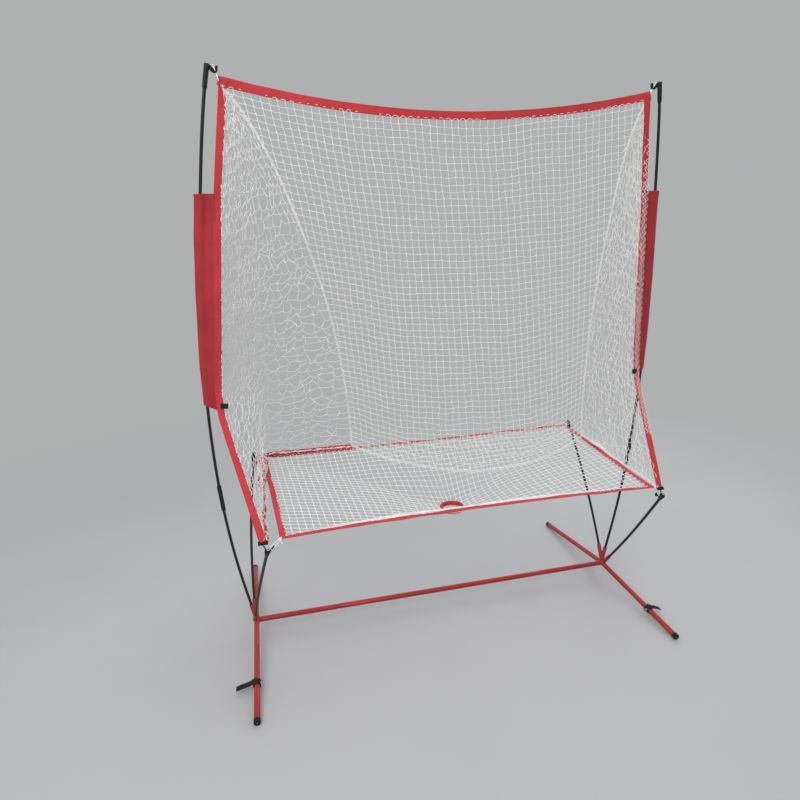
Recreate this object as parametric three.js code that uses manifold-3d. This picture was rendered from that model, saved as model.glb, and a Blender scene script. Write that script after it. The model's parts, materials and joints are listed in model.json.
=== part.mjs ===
// Portable pitching target net: a steel base with four push-on legs, two bent fibreglass bows that
// hold a pocket net open, and four lighter poles that carry a tray net with a ball drop ring.
// Millimetres. +X is to the thrower's right, +Y points away from the thrower, +Z is up.
// The origin is on the ground, at the middle of the net's overall width and length.
import * as THREE from 'three';
import { mergeVertices } from 'three/addons/utils/BufferGeometryUtils.js';
import Module from 'manifold-3d';

const wasm = await Module();
wasm.setup();

// ---- Driving dimensions ----

// Steel base: hubs, crossbar and legs are one size of round tube. Points are measured from the
// ground midway between the two hubs.
const HUB = [831, 0, 67]; // centre of the right hub
const TUBE_R = 11;
const TUBE_BORE_R = 9.6;
const STUB_R = 9.2; // drawn-down tube end that the next tube pushes over
const STUB_BORE_R = 7.8;
const STUB_SHOWING = 6; // bare neck left between two pushed-together tubes
const STUB_GRIP = 50;
const BAR_ARM = 350; // hub arm towards the crossbar
const FRONT_ARM = 168; // hub arm towards the front leg
const REAR_ARM = 250;
const FRONT_TIP = [838, -537, 11.4]; // centre of the leg's end face
const REAR_TIP = [840, 576, 11.4];
const CAP_R = 12.5;
const CAP_HEAD = 17; // length of cap outside the tube
const CAP_PLUG = 16; // length of cap inside the tube

// Fibreglass poles and the steel sockets that hold them
const POLE_R = 5.6;
const POLE_BORE_R = 2.6;
const SOCKET_R = 8.9;
const SOCKET_BORE_R = 6.2;
const SOCKET_REACH = 46; // pole length inside a socket
const SOCKET_FOOT = 22; // socket length below the pole, welded into the hub
const SLEEVE_BORE_R = 6.1; // bore of ferrules and hooks around a pole
const FERRULE_R = 8.5;
const FERRULE_LOW = 600; // height of the ferrule's lower end
const FERRULE_HIGH = 706;
const HOOK_R = 8.4;
const TOP_HOOK_LENGTH = 70;
const TRAY_HOOK_LENGTH = 30;
const HOOK_WALL = 10; // material above the bore of a top hook
const HOOK_ARM_DEPTH = 11;
// Side view of a hook's arm: towards the net and up, from the middle of the hook's end
const HOOK_ARM = [[2, 1], [20, -11], [24, -10], [25, 2], [32, 2], [33, -15], [25, -22], [2, -11]];
const TRAY_HOOK_SIZE = 0.8; // arm of a tray hook against that of a top hook
const POLE_SHOWING = 9; // end of a tray pole past its hook

// Bow centreline on the right side, from the bottom of its socket to the top of its hook
const BOW_POINTS = [
  [838, 6, 98],
  [877, -8, 300],
  [918, -36, 650],
  [928, -74, 1040],
  [909, -119, 1400],
  [865, -180, 1790],
  [804, -253, 2160],
];
// Tray poles on the right side: Bezier points from socket bottom to free end
const FRONT_POLE = [[835, -22, 91], [816, -193, 272], [783, -354, 462], [748, -506, 640]];
const REAR_POLE = [[833.6, 19.5, 105], [838, 114, 309], [820, 208, 524], [784, 293, 726]];

// Pocket net
const NET_TOP = [771, -241, 2129]; // outer top corner
const TOP_SAG = 79; // drop of the top edge at mid-span
const TOP_SET_BACK = 23; // the middle of the top edge is pulled back by the net
const BINDING = 25; // width of the side binding
const TOP_BINDING = 29;
const WEB = 2.6; // thickness of binding and webbing
const MESH = 3; // thickness of a netting panel
const SIDE_TOP = [761, -240, 2094]; // side binding centreline, from the top down
const SLEEVE_TOP = [811, -186, 1785];
const SLEEVE_LOW = [887, -90, 1035];
const NET_LOW = [765, -456, 652];
const SIDE_BEND = 45; // a bend of the side binding starts and ends this far from its corner
const SLEEVE_FOLD_TOP = 22; // sleeve past the pole, outwards
const SLEEVE_FOLD_LOW = 13;
const SLEEVE_GAP = 4; // between the sleeve's flat part and the side binding
const FABRIC_BORE_R = 7.4; // room for the pole inside the fabric sleeve
const SLEEVE_HALF = 8.8; // half the sleeve's thickness where it wraps the pole
const LEFT_SEAM = [[-742, -234, 2070], [-475, -50, 1450], [-352, 236, 735]];
const RIGHT_SEAM = [[742, -234, 2070], [690, -80, 1400], [729, 60, 722]];
const HEM_FRONT = [180, -60, 650]; // middle of the back panel's lower edge, lying above the tray
const BACK_BELLY = 60; // how far the back panel bags away from the thrower
const SIDE_BELLY = 26;
const SEAM_INSET = 2 / 300; // the back panel stops short of each seam by this share of its width
const CORNER_INSET = 0.02; // and short of the top binding's ends by this share of its length
const TUCK = 16; // a side panel starts this far inside the binding's middle line
const PANEL_GAP = 8; // between a side panel and the back panel at their seam
const TAB_ROOT = [-11, -28, 12]; // where the tab is sewn on, from the side binding's lower bend
const TAB_TURN = [-6, -2]; // the tab's free end against its root, forwards and down
const TAB_WIDTH = 20;
const TAB_LENGTH = 26;
const PATCH_WIDTH = 32; // webbing sewn over the pocket's low corner
const PATCH_LENGTH = 12;

// Tray net
const TRAY_FRONT = [707, -507, 671]; // outer front corner
const TRAY_REAR = [755, 259, 715]; // outer rear corner
const TRAY_POLES = [['front', FRONT_POLE, TRAY_FRONT], ['rear', REAR_POLE, TRAY_REAR]];
const TRAY_BINDING = 22;
const FRONT_PULL = 26; // the front edge is pulled back at mid-span
const SIDE_PULL = 3;
const REAR_PULL = 14;
const RING = [0, -170, 545]; // drop ring centre
const RING_R = 45;
const RING_HALF_WIDTH = 5.5;
const RING_HALF_HEIGHT = 9.5;
const RING_CLEARANCE = 3.5; // between the ring and the netting laced to it
const TRAY_SAG_POWER = 0.72; // below 1, the tray net falls away most steeply beside the ring

// Cords and leg straps
const CORD_R = 1.2;
const BLACK_CORD_R = 1.6;
const HOOK_SLOT = [18, -2.5]; // where a loop lies in a hook, inwards and up from the hook's end
const LOOP_SPREAD = 15;
const STRAP_AT = 362; // distance of the strap from the hub centre, along the front leg
const STRAP_WIDTH = 25;
const STRAP_BORE_R = 11.4;
const STRAP_R = 14;
const TAIL_REACH = { left: 76, right: 56 }; // loose strap end, out from the leg's axis
const HOOP_R = 18; // elastic hoop round the leg, beside the strap
const RIVET_R = 4.5;
const RIVET_HEIGHT = 1.6;
const PLAY = 0.3; // gap between neighbouring pieces
const CUT_PAST = 20; // a cutting bar runs on this far past the face that it opens

// ---- Materials ----

function finish(color, roughness, metalness) {
  return new THREE.MeshStandardMaterial({ color, roughness, metalness });
}

const RED_STEEL = finish(0xb02a32, 0.38, 0.1);
const FIBREGLASS = finish(0x1b1918, 0.45, 0);
const BLACK_PLASTIC = finish(0x161514, 0.5, 0);
const RED_FABRIC = finish(0xb62c36, 0.85, 0);
const WHITE_NET = finish(0xe4e4e0, 0.9, 0);
const WHITE_CORD = finish(0xf0efec, 0.8, 0);
const BLACK_WEB = finish(0x191716, 0.85, 0);
const ZINC = finish(0xc9c9c6, 0.35, 0.9);

// ---- Geometry helpers ----

const vec = (p) => new THREE.Vector3(...p);
const onSide = (p, side) => new THREE.Vector3(p[0] * side, p[1], p[2]);
const between = (a, b, t) => new THREE.Vector3().lerpVectors(a, b, t);
const heading = (from, to) => to.clone().sub(from).normalize();
const along = (from, to, distance) => from.clone().addScaledVector(heading(from, to), distance);
const bump = (t) => 4 * t * (1 - t); // 0 at both ends, 1 in the middle

// Six times the signed volume of an indexed mesh: negative when its faces point inwards.
function signedVolume(position, index) {
  const [a, b, c] = [new THREE.Vector3(), new THREE.Vector3(), new THREE.Vector3()];
  let volume = 0;
  for (let i = 0; i < index.length; i += 3) {
    a.fromArray(position, 3 * index[i]);
    b.fromArray(position, 3 * index[i + 1]);
    c.fromArray(position, 3 * index[i + 2]);
    volume += a.dot(b.cross(c));
  }
  return volume;
}

// A geometry from shared vertices, with its faces turned outwards.
function outward(position, index) {
  const flip = signedVolume(position, index) < 0;
  const turned = [];
  for (let i = 0; i < index.length; i += 3) {
    turned.push(index[i], index[flip ? i + 2 : i + 1], index[flip ? i + 1 : i + 2]);
  }
  const geometry = new THREE.BufferGeometry();
  geometry.setAttribute('position', new THREE.Float32BufferAttribute(position, 3));
  geometry.setIndex(turned);
  geometry.computeVertexNormals();
  return geometry;
}

// A three.js geometry with only its positions left, shared between triangles.
function shared(geometry) {
  const bare = geometry.index ? geometry.toNonIndexed() : geometry.clone();
  bare.deleteAttribute('normal');
  bare.deleteAttribute('uv');
  const merged = mergeVertices(bare, 1e-3);
  return outward([...merged.attributes.position.array], [...merged.index.array]);
}

function solid(geometry) {
  const merged = shared(geometry);
  return new wasm.Manifold(new wasm.Mesh({
    numProp: 3,
    vertProperties: new Float32Array(merged.attributes.position.array),
    triVerts: new Uint32Array(merged.index.array),
  }));
}

function geometryOf(manifold) {
  const mesh = manifold.getMesh();
  return outward([...mesh.vertProperties], [...mesh.triVerts]);
}

const joined = (...geometries) => geometries.map(solid).reduce((a, b) => a.add(b));

// A straight round bar from a to b.
function bar(a, b, radius, sides = 12) {
  const geometry = new THREE.CylinderGeometry(radius, radius, a.distanceTo(b), sides);
  const turn = new THREE.Quaternion().setFromUnitVectors(
    new THREE.Vector3(0, 1, 0), b.clone().sub(a).normalize());
  geometry.applyQuaternion(turn);
  return geometry.translate(...between(a, b, 0.5));
}

// A round bar along a curve. An arc is drawn with two points for each curve segment.
function rod(curve, radius, steps, sides = 10) {
  const outline = new THREE.Shape();
  outline.absarc(0, 0, radius, 0, 2 * Math.PI);
  return new THREE.ExtrudeGeometry(outline, {
    steps, curveSegments: sides / 2, extrudePath: curve, bevelEnabled: false,
  });
}

// The stretch of a curve between two fractions of its length.
class Stretch extends THREE.Curve {
  constructor(curve, from, to) {
    super();
    Object.assign(this, { curve, from, to });
  }

  getPoint(t) {
    return this.curve.getPointAt(THREE.MathUtils.clamp(this.from + (this.to - this.from) * t, 0, 1));
  }
}

// The fraction of a rising curve's length at which it reaches a height.
function atHeight(curve, z) {
  let [low, high] = [0, 1];
  for (let i = 0; i < 30; i += 1) {
    const middle = (low + high) / 2;
    if (curve.getPointAt(middle).z < z) low = middle;
    else high = middle;
  }
  return low;
}

// A closed sheet around surface(u, v), across columns and rows cells. thickness(u, v) may vary.
// With ringed set, u runs round a closed loop.
function sheet(surface, columns, rows, thickness, ringed = false) {
  const depth = typeof thickness === 'function' ? thickness : () => thickness;
  const normalAt = (u, v) => {
    const step = 1e-3;
    const du = surface(u + step, v).sub(surface(u - step, v));
    const dv = surface(u, v + step).sub(surface(u, v - step));
    return du.cross(dv).normalize();
  };
  const position = [];
  const count = ringed ? columns : columns + 1;
  for (const face of [-0.5, 0.5]) {
    for (let j = 0; j <= rows; j += 1) {
      for (let i = 0; i < count; i += 1) {
        const [u, v] = [i / columns, j / rows];
        const p = surface(u, v).addScaledVector(normalAt(u, v), face * depth(u, v));
        position.push(p.x, p.y, p.z);
      }
    }
  }
  const at = (face, i, j) => face * count * (rows + 1) + j * count + (i % count);
  const index = [];
  const quad = (a, b, c, d) => index.push(a, b, c, a, c, d);
  for (let j = 0; j < rows; j += 1) {
    for (let i = 0; i < columns; i += 1) {
      quad(at(0, i, j), at(0, i, j + 1), at(0, i + 1, j + 1), at(0, i + 1, j));
      quad(at(1, i, j), at(1, i + 1, j), at(1, i + 1, j + 1), at(1, i, j + 1));
    }
  }
  for (let i = 0; i < columns; i += 1) {
    quad(at(0, i, 0), at(0, i + 1, 0), at(1, i + 1, 0), at(1, i, 0));
    quad(at(0, i + 1, rows), at(0, i, rows), at(1, i, rows), at(1, i + 1, rows));
  }
  for (let j = 0; j < rows && !ringed; j += 1) {
    quad(at(0, 0, j + 1), at(0, 0, j), at(1, 0, j), at(1, 0, j + 1));
    quad(at(0, columns, j), at(0, columns, j + 1), at(1, columns, j + 1), at(1, columns, j));
  }
  return outward(position, index);
}

// A flat band along a curve, its width running towards across.
function band(curve, width, across, steps) {
  const surface = (u, v) => {
    const t = THREE.MathUtils.clamp(v, 0, 1);
    const tangent = curve.getTangentAt(t);
    const wide = across.clone().addScaledVector(tangent, -across.dot(tangent)).normalize();
    const end = curve.getPointAt(t).addScaledVector(tangent, (v - t) * curve.getLength());
    return end.addScaledVector(wide, (u - 0.5) * width);
  };
  return sheet(surface, 1, steps, WEB);
}

// ---- The model ----

const net = new THREE.Group();

function add(name, geometry, material) {
  const mesh = new THREE.Mesh(geometry, material);
  mesh.name = name;
  net.add(mesh);
}

const SIDES = [['left', -1], ['right', 1]];

const bowCurve = (side) => new THREE.CatmullRomCurve3(BOW_POINTS.map((p) => onSide(p, side)));
const poleCurve = (points, side) => new THREE.CubicBezierCurve3(...points.map((p) => onSide(p, side)));

// Steel hub: three hollow arms with drawn-down ends, and three sockets for the poles.
function hubGeometry(side) {
  const centre = onSide(HUB, side);
  const arms = [
    [along(centre, onSide([0, 0, HUB[2]], side), BAR_ARM), BAR_ARM],
    [along(centre, onSide(FRONT_TIP, side), FRONT_ARM), FRONT_ARM],
    [along(centre, onSide(REAR_TIP, side), REAR_ARM), REAR_ARM],
  ];
  const outer = [];
  const bores = [];
  for (const [end, length] of arms) {
    const stub = along(centre, end, length + STUB_SHOWING + STUB_GRIP);
    outer.push(bar(centre, end, TUBE_R), bar(centre, stub, STUB_R));
    const past = length + STUB_SHOWING + STUB_GRIP + CUT_PAST;
    bores.push(bar(along(centre, end, TUBE_R), along(centre, stub, past), STUB_BORE_R));
  }
  const curves = [bowCurve(side), poleCurve(FRONT_POLE, side), poleCurve(REAR_POLE, side)];
  for (const curve of curves) {
    const seat = curve.getPointAt(0);
    const mouth = curve.getPointAt(SOCKET_REACH / curve.getLength());
    outer.push(bar(along(seat, mouth, -SOCKET_FOOT), mouth, SOCKET_R));
    bores.push(bar(along(seat, mouth, -PLAY), along(seat, mouth, SOCKET_REACH + CUT_PAST), SOCKET_BORE_R));
  }
  outer.push(new THREE.SphereGeometry(TUBE_R, 12, 8).translate(...centre));
  return geometryOf(joined(...outer).subtract(joined(...bores)));
}

// A hollow round tube between two points.
function tubeGeometry(a, b, outer, bore) {
  const hole = bar(along(a, b, -1), along(b, a, -1), bore);
  return geometryOf(solid(bar(a, b, outer)).subtract(solid(hole)));
}

// Moulded leg cap: head with a recessed end, plug inside the tube, worn flat where it stands.
function legCapGeometry(hub, tip) {
  const points = [
    [0, 3], [6.5, 3], [6.5, 0], [CAP_R - 1.5, 0], [CAP_R, 1.5], [CAP_R, CAP_HEAD - 0.4],
    [STUB_R, CAP_HEAD - 0.4], [STUB_R, CAP_HEAD + CAP_PLUG], [0, CAP_HEAD + CAP_PLUG],
  ];
  const cap = new THREE.LatheGeometry(points.map(([r, h]) => new THREE.Vector2(r, h)), 16);
  cap.applyQuaternion(new THREE.Quaternion().setFromUnitVectors(
    new THREE.Vector3(0, 1, 0), hub.clone().sub(tip).normalize()));
  cap.translate(...tip);
  const ground = new THREE.BoxGeometry(200, 200, 40).translate(tip.x, tip.y, -20);
  return geometryOf(solid(cap).subtract(solid(ground)));
}

// A hook's axes at a pole's end. The loop's pull turns its arm towards the net's corner.
function hookFrame(curve, corner) {
  const end = curve.getPointAt(1);
  const up = curve.getTangentAt(1);
  const pull = corner.clone().sub(end);
  const reach = pull.addScaledVector(up, -pull.dot(up)).normalize();
  return { end, up, reach, depth: new THREE.Vector3().crossVectors(reach, up) };
}

// Moulded hook on a pole's end. Its arm leaves the top, slopes down towards the net, and turns up.
function hookGeometry(curve, length, corner, size, closed) {
  const { end, up, reach, depth } = hookFrame(curve, corner);
  const arm = new THREE.Shape(HOOK_ARM.map(([x, y]) => new THREE.Vector2(x, y).multiplyScalar(size)));
  const blade = new THREE.ExtrudeGeometry(arm, { depth: HOOK_ARM_DEPTH, bevelEnabled: false });
  blade.translate(0, 0, -HOOK_ARM_DEPTH / 2);
  blade.applyMatrix4(new THREE.Matrix4().makeBasis(reach, up, depth).setPosition(end));
  const collar = new Stretch(curve, 1 - length / curve.getLength(), 1);
  const holeTop = closed ? 1 - HOOK_WALL / curve.getLength() : 1;
  const hole = new Stretch(curve, 1 - (length + 5) / curve.getLength(), holeTop);
  const steps = closed ? 2 : 1;
  const bore = solid(rod(hole, SLEEVE_BORE_R, steps));
  const body = joined(rod(collar, HOOK_R, steps), blade).subtract(bore);
  if (closed) return geometryOf(body);
  const past = bar(end.clone().addScaledVector(up, -2), end.clone().addScaledVector(up, 5), SLEEVE_BORE_R, 10);
  return geometryOf(body.subtract(solid(past)));
}

// A hollow pole along part of a curve.
function poleGeometry(curve, from, to, steps) {
  const pole = new Stretch(curve, from, to);
  const hole = new THREE.CatmullRomCurve3([
    along(pole.getPoint(0), pole.getPoint(0.01), -3),
    ...Array.from({ length: steps + 1 }, (_, i) => pole.getPoint(i / steps)),
    along(pole.getPoint(1), pole.getPoint(0.99), -3),
  ]);
  return geometryOf(solid(rod(pole, POLE_R, steps)).subtract(solid(rod(hole, POLE_BORE_R, steps, 6))));
}

const LEGS = [['front', FRONT_TIP, FRONT_ARM], ['rear', REAR_TIP, REAR_ARM]];

function addBase() {
  const barEnd = [HUB[0] - BAR_ARM - STUB_SHOWING, 0, HUB[2]];
  add('crossbar', tubeGeometry(onSide(barEnd, -1), onSide(barEnd, 1), TUBE_R, TUBE_BORE_R), RED_STEEL);
  for (const [word, side] of SIDES) {
    const hub = onSide(HUB, side);
    add(`${word}_hub`, hubGeometry(side), RED_STEEL);
    for (const [place, tipPoint, arm] of LEGS) {
      const tip = onSide(tipPoint, side);
      const mouth = along(hub, tip, arm + STUB_SHOWING);
      const leg = tubeGeometry(mouth, along(tip, hub, CAP_HEAD), TUBE_R, TUBE_BORE_R);
      add(`${word}_${place}_leg`, leg, RED_STEEL);
      add(`${word}_${place}_leg_cap`, legCapGeometry(hub, tip), BLACK_PLASTIC);
    }
  }
}

function addBow(word, side) {
  const curve = bowCurve(side);
  const joint = atHeight(curve, (FERRULE_LOW + FERRULE_HIGH) / 2);
  const gap = 0.5 / curve.getLength();
  const top = 1 - (HOOK_WALL + 1) / curve.getLength();
  add(`${word}_bow_lower`, poleGeometry(curve, 0, joint - gap, 6), FIBREGLASS);
  add(`${word}_bow_upper`, poleGeometry(curve, joint + gap, top, 12), FIBREGLASS);
  const ferrule = new Stretch(curve, atHeight(curve, FERRULE_LOW), atHeight(curve, FERRULE_HIGH));
  const [below, above] = [FERRULE_LOW - CUT_PAST, FERRULE_HIGH + CUT_PAST];
  const hole = new Stretch(curve, atHeight(curve, below), atHeight(curve, above));
  const shell = solid(rod(ferrule, FERRULE_R, 2, 12)).subtract(solid(rod(hole, SLEEVE_BORE_R, 2, 12)));
  add(`${word}_bow_ferrule`, geometryOf(shell), FIBREGLASS);
  const hook = hookGeometry(curve, TOP_HOOK_LENGTH, onSide(NET_TOP, side), 1, true);
  add(`${word}_top_hook`, hook, BLACK_PLASTIC);
}

// A tray pole sticks out of its open hook by a little.
function trayHookCurve(points, side) {
  const curve = poleCurve(points, side);
  return new Stretch(curve, 0, 1 - POLE_SHOWING / curve.getLength());
}

function addTrayPoles(word, side) {
  for (const [place, points, corner] of TRAY_POLES) {
    const curve = trayHookCurve(points, side);
    const hook = hookGeometry(curve, TRAY_HOOK_LENGTH, onSide(corner, side), TRAY_HOOK_SIZE, false);
    add(`${word}_${place}_tray_pole`, poleGeometry(poleCurve(points, side), 0, 1, 8), FIBREGLASS);
    add(`${word}_${place}_tray_hook`, hook, BLACK_PLASTIC);
  }
}

// ---- Soft goods ----

// The middle of the top edge hangs below the corners.
const topEdge = (u) => new THREE.Vector3(
  (2 * u - 1) * NET_TOP[0],
  NET_TOP[1] + TOP_SET_BACK * bump(u),
  NET_TOP[2] - TOP_BINDING / 2 - TOP_SAG * bump(u));

class TopEdge extends THREE.Curve {
  getPoint(t) {
    return topEdge(t);
  }
}

// A point on a soft curve through three points.
function through(points, side, t) {
  const curve = new THREE.QuadraticBezierCurve3(
    onSide(points[0], side),
    onSide(points[1].map((c, i) => 2 * c - (points[0][i] + points[2][i]) / 2), side),
    onSide(points[2], side));
  return curve.getPoint(t);
}

// The sleeve's cross-section at height fraction t: outer fold, pole and inner edge.
function sleeveAt(curve, side, t) {
  const z = THREE.MathUtils.lerp(SLEEVE_TOP[2], SLEEVE_LOW[2] + 12, t);
  const pole = curve.getPointAt(atHeight(curve, z));
  const fold = THREE.MathUtils.lerp(SLEEVE_FOLD_TOP, SLEEVE_FOLD_LOW, t);
  const inner = between(onSide(SLEEVE_TOP, side), onSide(SLEEVE_LOW, side), t);
  inner.x += side * (BINDING / 2 + SLEEVE_GAP);
  inner.z = z;
  return { pole, fold, inner };
}

// A fabric sleeve folded round the bow, flat towards the net, with a clear bore for the pole.
function sleeveGeometry(side) {
  const curve = bowCurve(side);
  const surface = (u, v) => {
    const { pole, fold, inner } = sleeveAt(curve, side, v);
    const outer = pole.clone();
    outer.x += side * fold;
    const flat = between(outer, inner, u);
    const share = fold / (fold + Math.abs(pole.x - inner.x));
    const lift = 1 - Math.min(1, Math.abs(u - share) / (1 - share));
    flat.y += (pole.y - between(outer, inner, share).y) * lift;
    return flat;
  };
  const thickness = (u, v) => {
    const { pole, fold, inner } = sleeveAt(curve, side, THREE.MathUtils.clamp(v, 0, 1));
    const offset = u * (fold + Math.abs(pole.x - inner.x)) - fold;
    return 2 * WEB + 2 * SLEEVE_HALF * Math.exp(-((offset / 12) ** 4));
  };
  const [low, high] = [atHeight(curve, SLEEVE_LOW[2] - 60), atHeight(curve, SLEEVE_TOP[2] + 60)];
  const hole = solid(rod(new Stretch(curve, low, high), FABRIC_BORE_R, 7, 8));
  return geometryOf(solid(sheet(surface, 8, 5, thickness)).subtract(hole));
}

// A round cord loop with straight sides, lying between a and b.
function loopGeometry(a, b, across) {
  const wide = across.clone().normalize().multiplyScalar(LOOP_SPREAD / 2);
  const curve = new THREE.CatmullRomCurve3([
    a.clone().add(wide), b.clone().add(wide), along(b, a, -3),
    b.clone().sub(wide), a.clone().sub(wide), along(a, b, -3),
  ], true);
  const [count, sides] = [16, 6];
  const frames = curve.computeFrenetFrames(count, true);
  const position = [];
  for (let j = 0; j < count; j += 1) {
    for (let i = 0; i < sides; i += 1) {
      const turn = (2 * Math.PI * i) / sides;
      const p = curve.getPointAt(j / count);
      p.addScaledVector(frames.normals[j], CORD_R * Math.cos(turn));
      p.addScaledVector(frames.binormals[j], CORD_R * Math.sin(turn));
      position.push(...p);
    }
  }
  const at = (i, j) => (j % count) * sides + (i % sides);
  const index = [];
  for (let j = 0; j < count; j += 1) {
    for (let i = 0; i < sides; i += 1) {
      index.push(at(i, j), at(i + 1, j), at(i + 1, j + 1));
      index.push(at(i, j), at(i + 1, j + 1), at(i, j + 1));
    }
  }
  return outward(position, index);
}

// The place in a hook where a loop lies.
function hookSlot({ end, up, reach }, size) {
  return end.clone().addScaledVector(reach, size * HOOK_SLOT[0]).addScaledVector(up, size * HOOK_SLOT[1]);
}

const UPRIGHT = vec([0, 0, 1]);
const SIDEWAYS = vec([1, 0, 0]);

// The back panel's lower edge, from the left seam to the right one.
function hem(u) {
  const [left, right] = [vec(LEFT_SEAM[2]), vec(RIGHT_SEAM[2])];
  const pull = vec(HEM_FRONT).multiplyScalar(2).sub(between(left, right, 0.5));
  return new THREE.QuadraticBezierCurve3(left, pull, right).getPoint(u);
}

// The back panel: u goes from seam to seam, v from the top binding to the hem.
function backPanel(u, v) {
  const share = THREE.MathUtils.lerp(SEAM_INSET, 1 - SEAM_INSET, u);
  const point = between(through(LEFT_SEAM, 1, v), through(RIGHT_SEAM, 1, v), share);
  const top = topEdge(THREE.MathUtils.lerp(CORNER_INSET, 1 - CORNER_INSET, share));
  top.z -= TOP_BINDING / 2 + MESH;
  const topChord = between(through(LEFT_SEAM, 1, 0), through(RIGHT_SEAM, 1, 0), share);
  const lowChord = between(vec(LEFT_SEAM[2]), vec(RIGHT_SEAM[2]), share);
  point.addScaledVector(top.sub(topChord), 1 - v);
  point.addScaledVector(hem(share).sub(lowChord), v);
  point.y += BACK_BELLY * bump(v) * bump(u);
  return point;
}

// The side binding's middle line: three straight runs, with the two bends between them softened.
function sideLine(side) {
  const ends = [SIDE_TOP, SLEEVE_TOP, SLEEVE_LOW, NET_LOW].map((p) => onSide(p, side));
  return new THREE.CatmullRomCurve3(ends.flatMap((p, i) => {
    if (i === 0 || i === ends.length - 1) return [p];
    const [before, after] = [ends[i - 1], ends[i + 1]];
    return [
      along(p, before, 2 * SIDE_BEND), along(p, before, SIDE_BEND),
      along(p, after, SIDE_BEND), along(p, after, 2 * SIDE_BEND),
    ];
  }));
}

// A point on a path of two straight lines, by its share of the whole length.
function onBentPath([start, bend, end], share) {
  const first = start.distanceTo(bend);
  const turn = first / (first + bend.distanceTo(end));
  if (share < turn) return between(start, bend, share / turn);
  return between(bend, end, (share - turn) / (1 - turn));
}

// A side panel: u goes from the side binding back to the seam, v from the top corner down. The left
// one's foot goes round the tray's rear corner, and the right one's goes straight to its seam.
function sidePanel(side) {
  const seam = side < 0 ? LEFT_SEAM : RIGHT_SEAM;
  const line = sideLine(side);
  const front = (v) => line.getPointAt(THREE.MathUtils.clamp(v, 0, 1)).add(onSide([-TUCK, MESH, 0], side));
  const rear = (v) => through(seam, 1, v).add(onSide([PANEL_GAP, 5, 0], side));
  const rearCorner = onSide([TRAY_REAR[0] - 6, TRAY_REAR[1] - 12, TRAY_REAR[2] + 15], side);
  const bend = side < 0 ? rearCorner : between(front(1), rear(1), 0.6);
  return (u, v) => {
    const foot = onBentPath([front(1), bend, rear(1)], u);
    const swell = SIDE_BELLY * bump(u) * bump(v);
    const point = between(front(v), rear(v), u);
    point.addScaledVector(foot.sub(between(front(1), rear(1), u)), v * v);
    return point.add(onSide([swell, swell, 0], side));
  };
}

function addPocketNet() {
  add('top_binding', band(new TopEdge(), TOP_BINDING, UPRIGHT, 16), RED_FABRIC);
  add('back_netting', sheet(backPanel, 12, 10, MESH), WHITE_NET);
  for (const [word, side] of SIDES) {
    add(`${word}_side_binding`, band(sideLine(side), BINDING, SIDEWAYS, 16), RED_FABRIC);
    add(`${word}_bow_sleeve`, sleeveGeometry(side), RED_FABRIC);
    add(`${word}_side_netting`, sheet(sidePanel(side), 8, 9, MESH), WHITE_NET);

    const corner = onSide(SLEEVE_LOW, side);
    const root = corner.clone().add(onSide(TAB_ROOT, side));
    const end = root.clone().add(onSide([-TAB_LENGTH, ...TAB_TURN], side));
    add(`${word}_sleeve_tab`, band(new THREE.LineCurve3(root, end), TAB_WIDTH, UPRIGHT, 1), BLACK_WEB);

    const low = onSide(NET_LOW, side);
    const patch = new THREE.LineCurve3(along(low, corner, -1), along(low, corner, -1 - PATCH_LENGTH));
    add(`${word}_corner_webbing`, band(patch, PATCH_WIDTH, SIDEWAYS, 1), BLACK_WEB);
  }
}

// The tray's edge, counted round from the front left corner, moved inwards by inset.
function trayEdge(u, inset) {
  const [fx, fy, fz] = TRAY_FRONT;
  const [rx, ry, rz] = TRAY_REAR;
  const corners = [
    [-fx + inset, fy + inset, fz], [fx - inset, fy + inset, fz],
    [rx - inset, ry - inset, rz], [-rx + inset, ry - inset, rz],
  ];
  const turn = 4 * (u - Math.floor(u));
  const k = Math.floor(turn);
  const t = turn - k;
  const p = between(vec(corners[k]), vec(corners[(k + 1) % 4]), t);
  const pull = [[0, FRONT_PULL], [-SIDE_PULL, 0], [0, -REAR_PULL], [SIDE_PULL, 0]][k];
  return p.add(vec([pull[0] * bump(t), pull[1] * bump(t), 0]));
}

function addTray() {
  const rim = (u, v) => trayEdge(u, TRAY_BINDING * v);
  add('tray_binding', sheet(rim, 32, 1, WEB, true), RED_FABRIC);

  const centre = vec(RING);
  const inner = RING_R + RING_HALF_WIDTH + RING_CLEARANCE;
  const netting = (u, v) => {
    const edge = trayEdge(u, TRAY_BINDING + 2);
    const turn = Math.atan2(edge.y - centre.y, edge.x - centre.x);
    const hole = centre.clone().add(vec([inner * Math.cos(turn), inner * Math.sin(turn), 0]));
    const p = between(hole, edge, v);
    p.z = THREE.MathUtils.lerp(hole.z, edge.z, Math.max(v, 0) ** TRAY_SAG_POWER);
    return p;
  };
  add('tray_netting', sheet(netting, 32, 3, MESH, true), WHITE_NET);

  const sides = 8;
  const section = Array.from({ length: sides + 1 }, (_, i) => {
    const turn = (2 * Math.PI * i) / sides;
    return new THREE.Vector2(RING_R + RING_HALF_WIDTH * Math.cos(turn), RING_HALF_HEIGHT * Math.sin(turn));
  });
  const ring = new THREE.LatheGeometry(section, 24).rotateX(Math.PI / 2).translate(...RING);
  add('drop_ring', shared(ring), RED_FABRIC);
}

function addLoop(name, curve, corner, size) {
  const hook = hookFrame(curve, corner);
  const slot = hookSlot(hook, size);
  add(name, loopGeometry(slot, along(corner, slot, 6.5), hook.depth), WHITE_CORD);
}

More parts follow.
